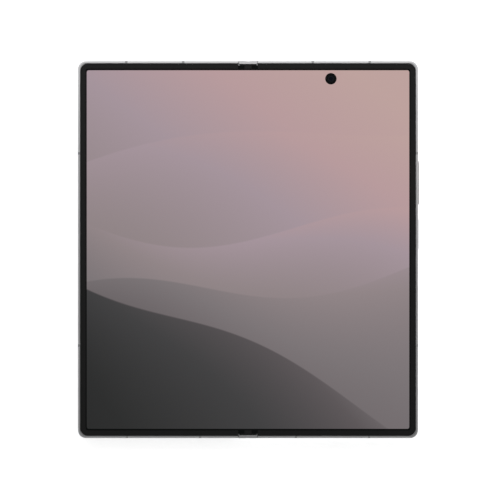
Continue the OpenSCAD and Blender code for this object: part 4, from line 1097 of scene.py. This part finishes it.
class PHONE_OT_stage(bpy.types.Operator):
    """Makes the floor, the soft lights and the camera"""
    bl_idname = "phone.stage"
    bl_label = "Stage"

    def execute(self, context):
        stage = context.scene.phone_stage
        square = box(0, 0, stage.reach, stage.reach)
        floor = piece("floor", stack([(square, -20 * MM), (square, 0)]), self.floor_paper(stage.floor))
        self.sky(context.scene)
        for name, place, aim, size, power in LIGHTS:
            self.soft_light(name, Vector(place), Vector(aim), size, power)
        lens = bpy.data.cameras.new("camera")
        lens.lens = lens.sensor_width * stage.distance / stage.picture_width
        lens.clip_end = 10 * stage.distance
        camera = bpy.data.objects.new("camera", lens)
        camera.location = (*stage.off_centre, SCREEN_HIGH.z + stage.distance)
        context.scene.collection.objects.link(camera)
        context.scene.camera = camera
        context.scene.view_settings.view_transform = "Standard"
        return {"FINISHED"}

    def floor_paper(self, code):
        """Matt white paper, lit from below as on a light table so that it stays white by the phone."""
        material, _ = new_material("floor_paper")
        return finished(material, base_color=linear(code), roughness=0.9, emission_color=linear(code),
            emission_strength=0.65)

    def sky(self, scene):
        """A soft white room, darker overhead where the camera stands."""
        world = bpy.data.worlds.new("room")
        world.use_nodes = True
        scene.world = world
        tree = world.node_tree
        tree.nodes.clear()
        way = add(tree, "ShaderNodeTexCoord").outputs["Generated"]
        way = add(tree, "ShaderNodeSeparateXYZ", {0: way}).outputs
        ramp = add(tree, "ShaderNodeValToRGB", {"Fac": way[2]})
        stops = ramp.color_ramp.elements
        stops[0].color, stops[1].color = [(grey, grey, grey, 1) for at, grey in (SKY[0], SKY[-1])]
        for at, grey in SKY[1:-1]:
            stops.new(at).color = (grey, grey, grey, 1)
        strength = add(tree, "ShaderNodeMath", {0: way[1], 1: SKY_LEAN, 2: SKY_STRENGTH},
            operation="MULTIPLY_ADD")
        glow = add(tree, "ShaderNodeBackground", {"Color": ramp, "Strength": strength})
        add(tree, "ShaderNodeOutputWorld", {"Surface": glow})

    def soft_light(self, name, place, aim, size, power):
        """A soft box that faces a point."""
        light = bpy.data.lights.new(name, "AREA")
        light.shape, light.size, light.size_y, light.energy = "RECTANGLE", size[0], size[1], power
        made = bpy.data.objects.new(name, light)
        made.location = place
        made.rotation_euler = (aim - place).to_track_quat("-Z", "Y").to_euler()
        bpy.context.scene.collection.objects.link(made)


class PHONE_PT_panel(bpy.types.Panel):
    """Lists the steps and the sizes of the folding phone"""
    bl_idname = "PHONE_PT_panel"
    bl_label = "Folding phone"
    bl_space_type = "VIEW_3D"
    bl_region_type = "UI"
    bl_category = "Folding phone"

    def draw(self, context):
        for name in GROUPS:
            group = getattr(context.scene, name)
            fields = self.layout.box()
            for word in group.bl_rna.properties.keys():
                if word not in ("rna_type", "name"):
                    fields.prop(group, word)
        for operator in OPERATORS:
            self.layout.operator(operator.bl_idname)


GROUPS = {"phone_body": PhoneBody, "phone_screen": PhoneScreen, "phone_cameras": PhoneCameras,
    "phone_openings": PhoneOpenings, "phone_inside": PhoneInside, "phone_stage": PhoneStage}
OPERATORS = (PHONE_OT_finishes, PHONE_OT_bands, PHONE_OT_bezels, PHONE_OT_screen, PHONE_OT_cameras,
    PHONE_OT_keys, PHONE_OT_openings, PHONE_OT_inside, PHONE_OT_stage)


def register():
    for name, group in GROUPS.items():
        bpy.utils.register_class(group)
        setattr(bpy.types.Scene, name, bpy.props.PointerProperty(type=group))
    for operator in OPERATORS:
        bpy.utils.register_class(operator)
    bpy.utils.register_class(PHONE_PT_panel)


def unregister():
    bpy.utils.unregister_class(PHONE_PT_panel)
    for operator in reversed(OPERATORS):
        bpy.utils.unregister_class(operator)
    for name, group in reversed(GROUPS.items()):
        delattr(bpy.types.Scene, name)
        bpy.utils.unregister_class(group)


def main():
    """Makes every piece in order."""
    register()
    for step in ("finishes", "bands", "bezels", "screen", "cameras", "keys", "openings", "inside", "stage"):
        getattr(bpy.ops.phone, step)()


if __name__ == "__main__":
    main()
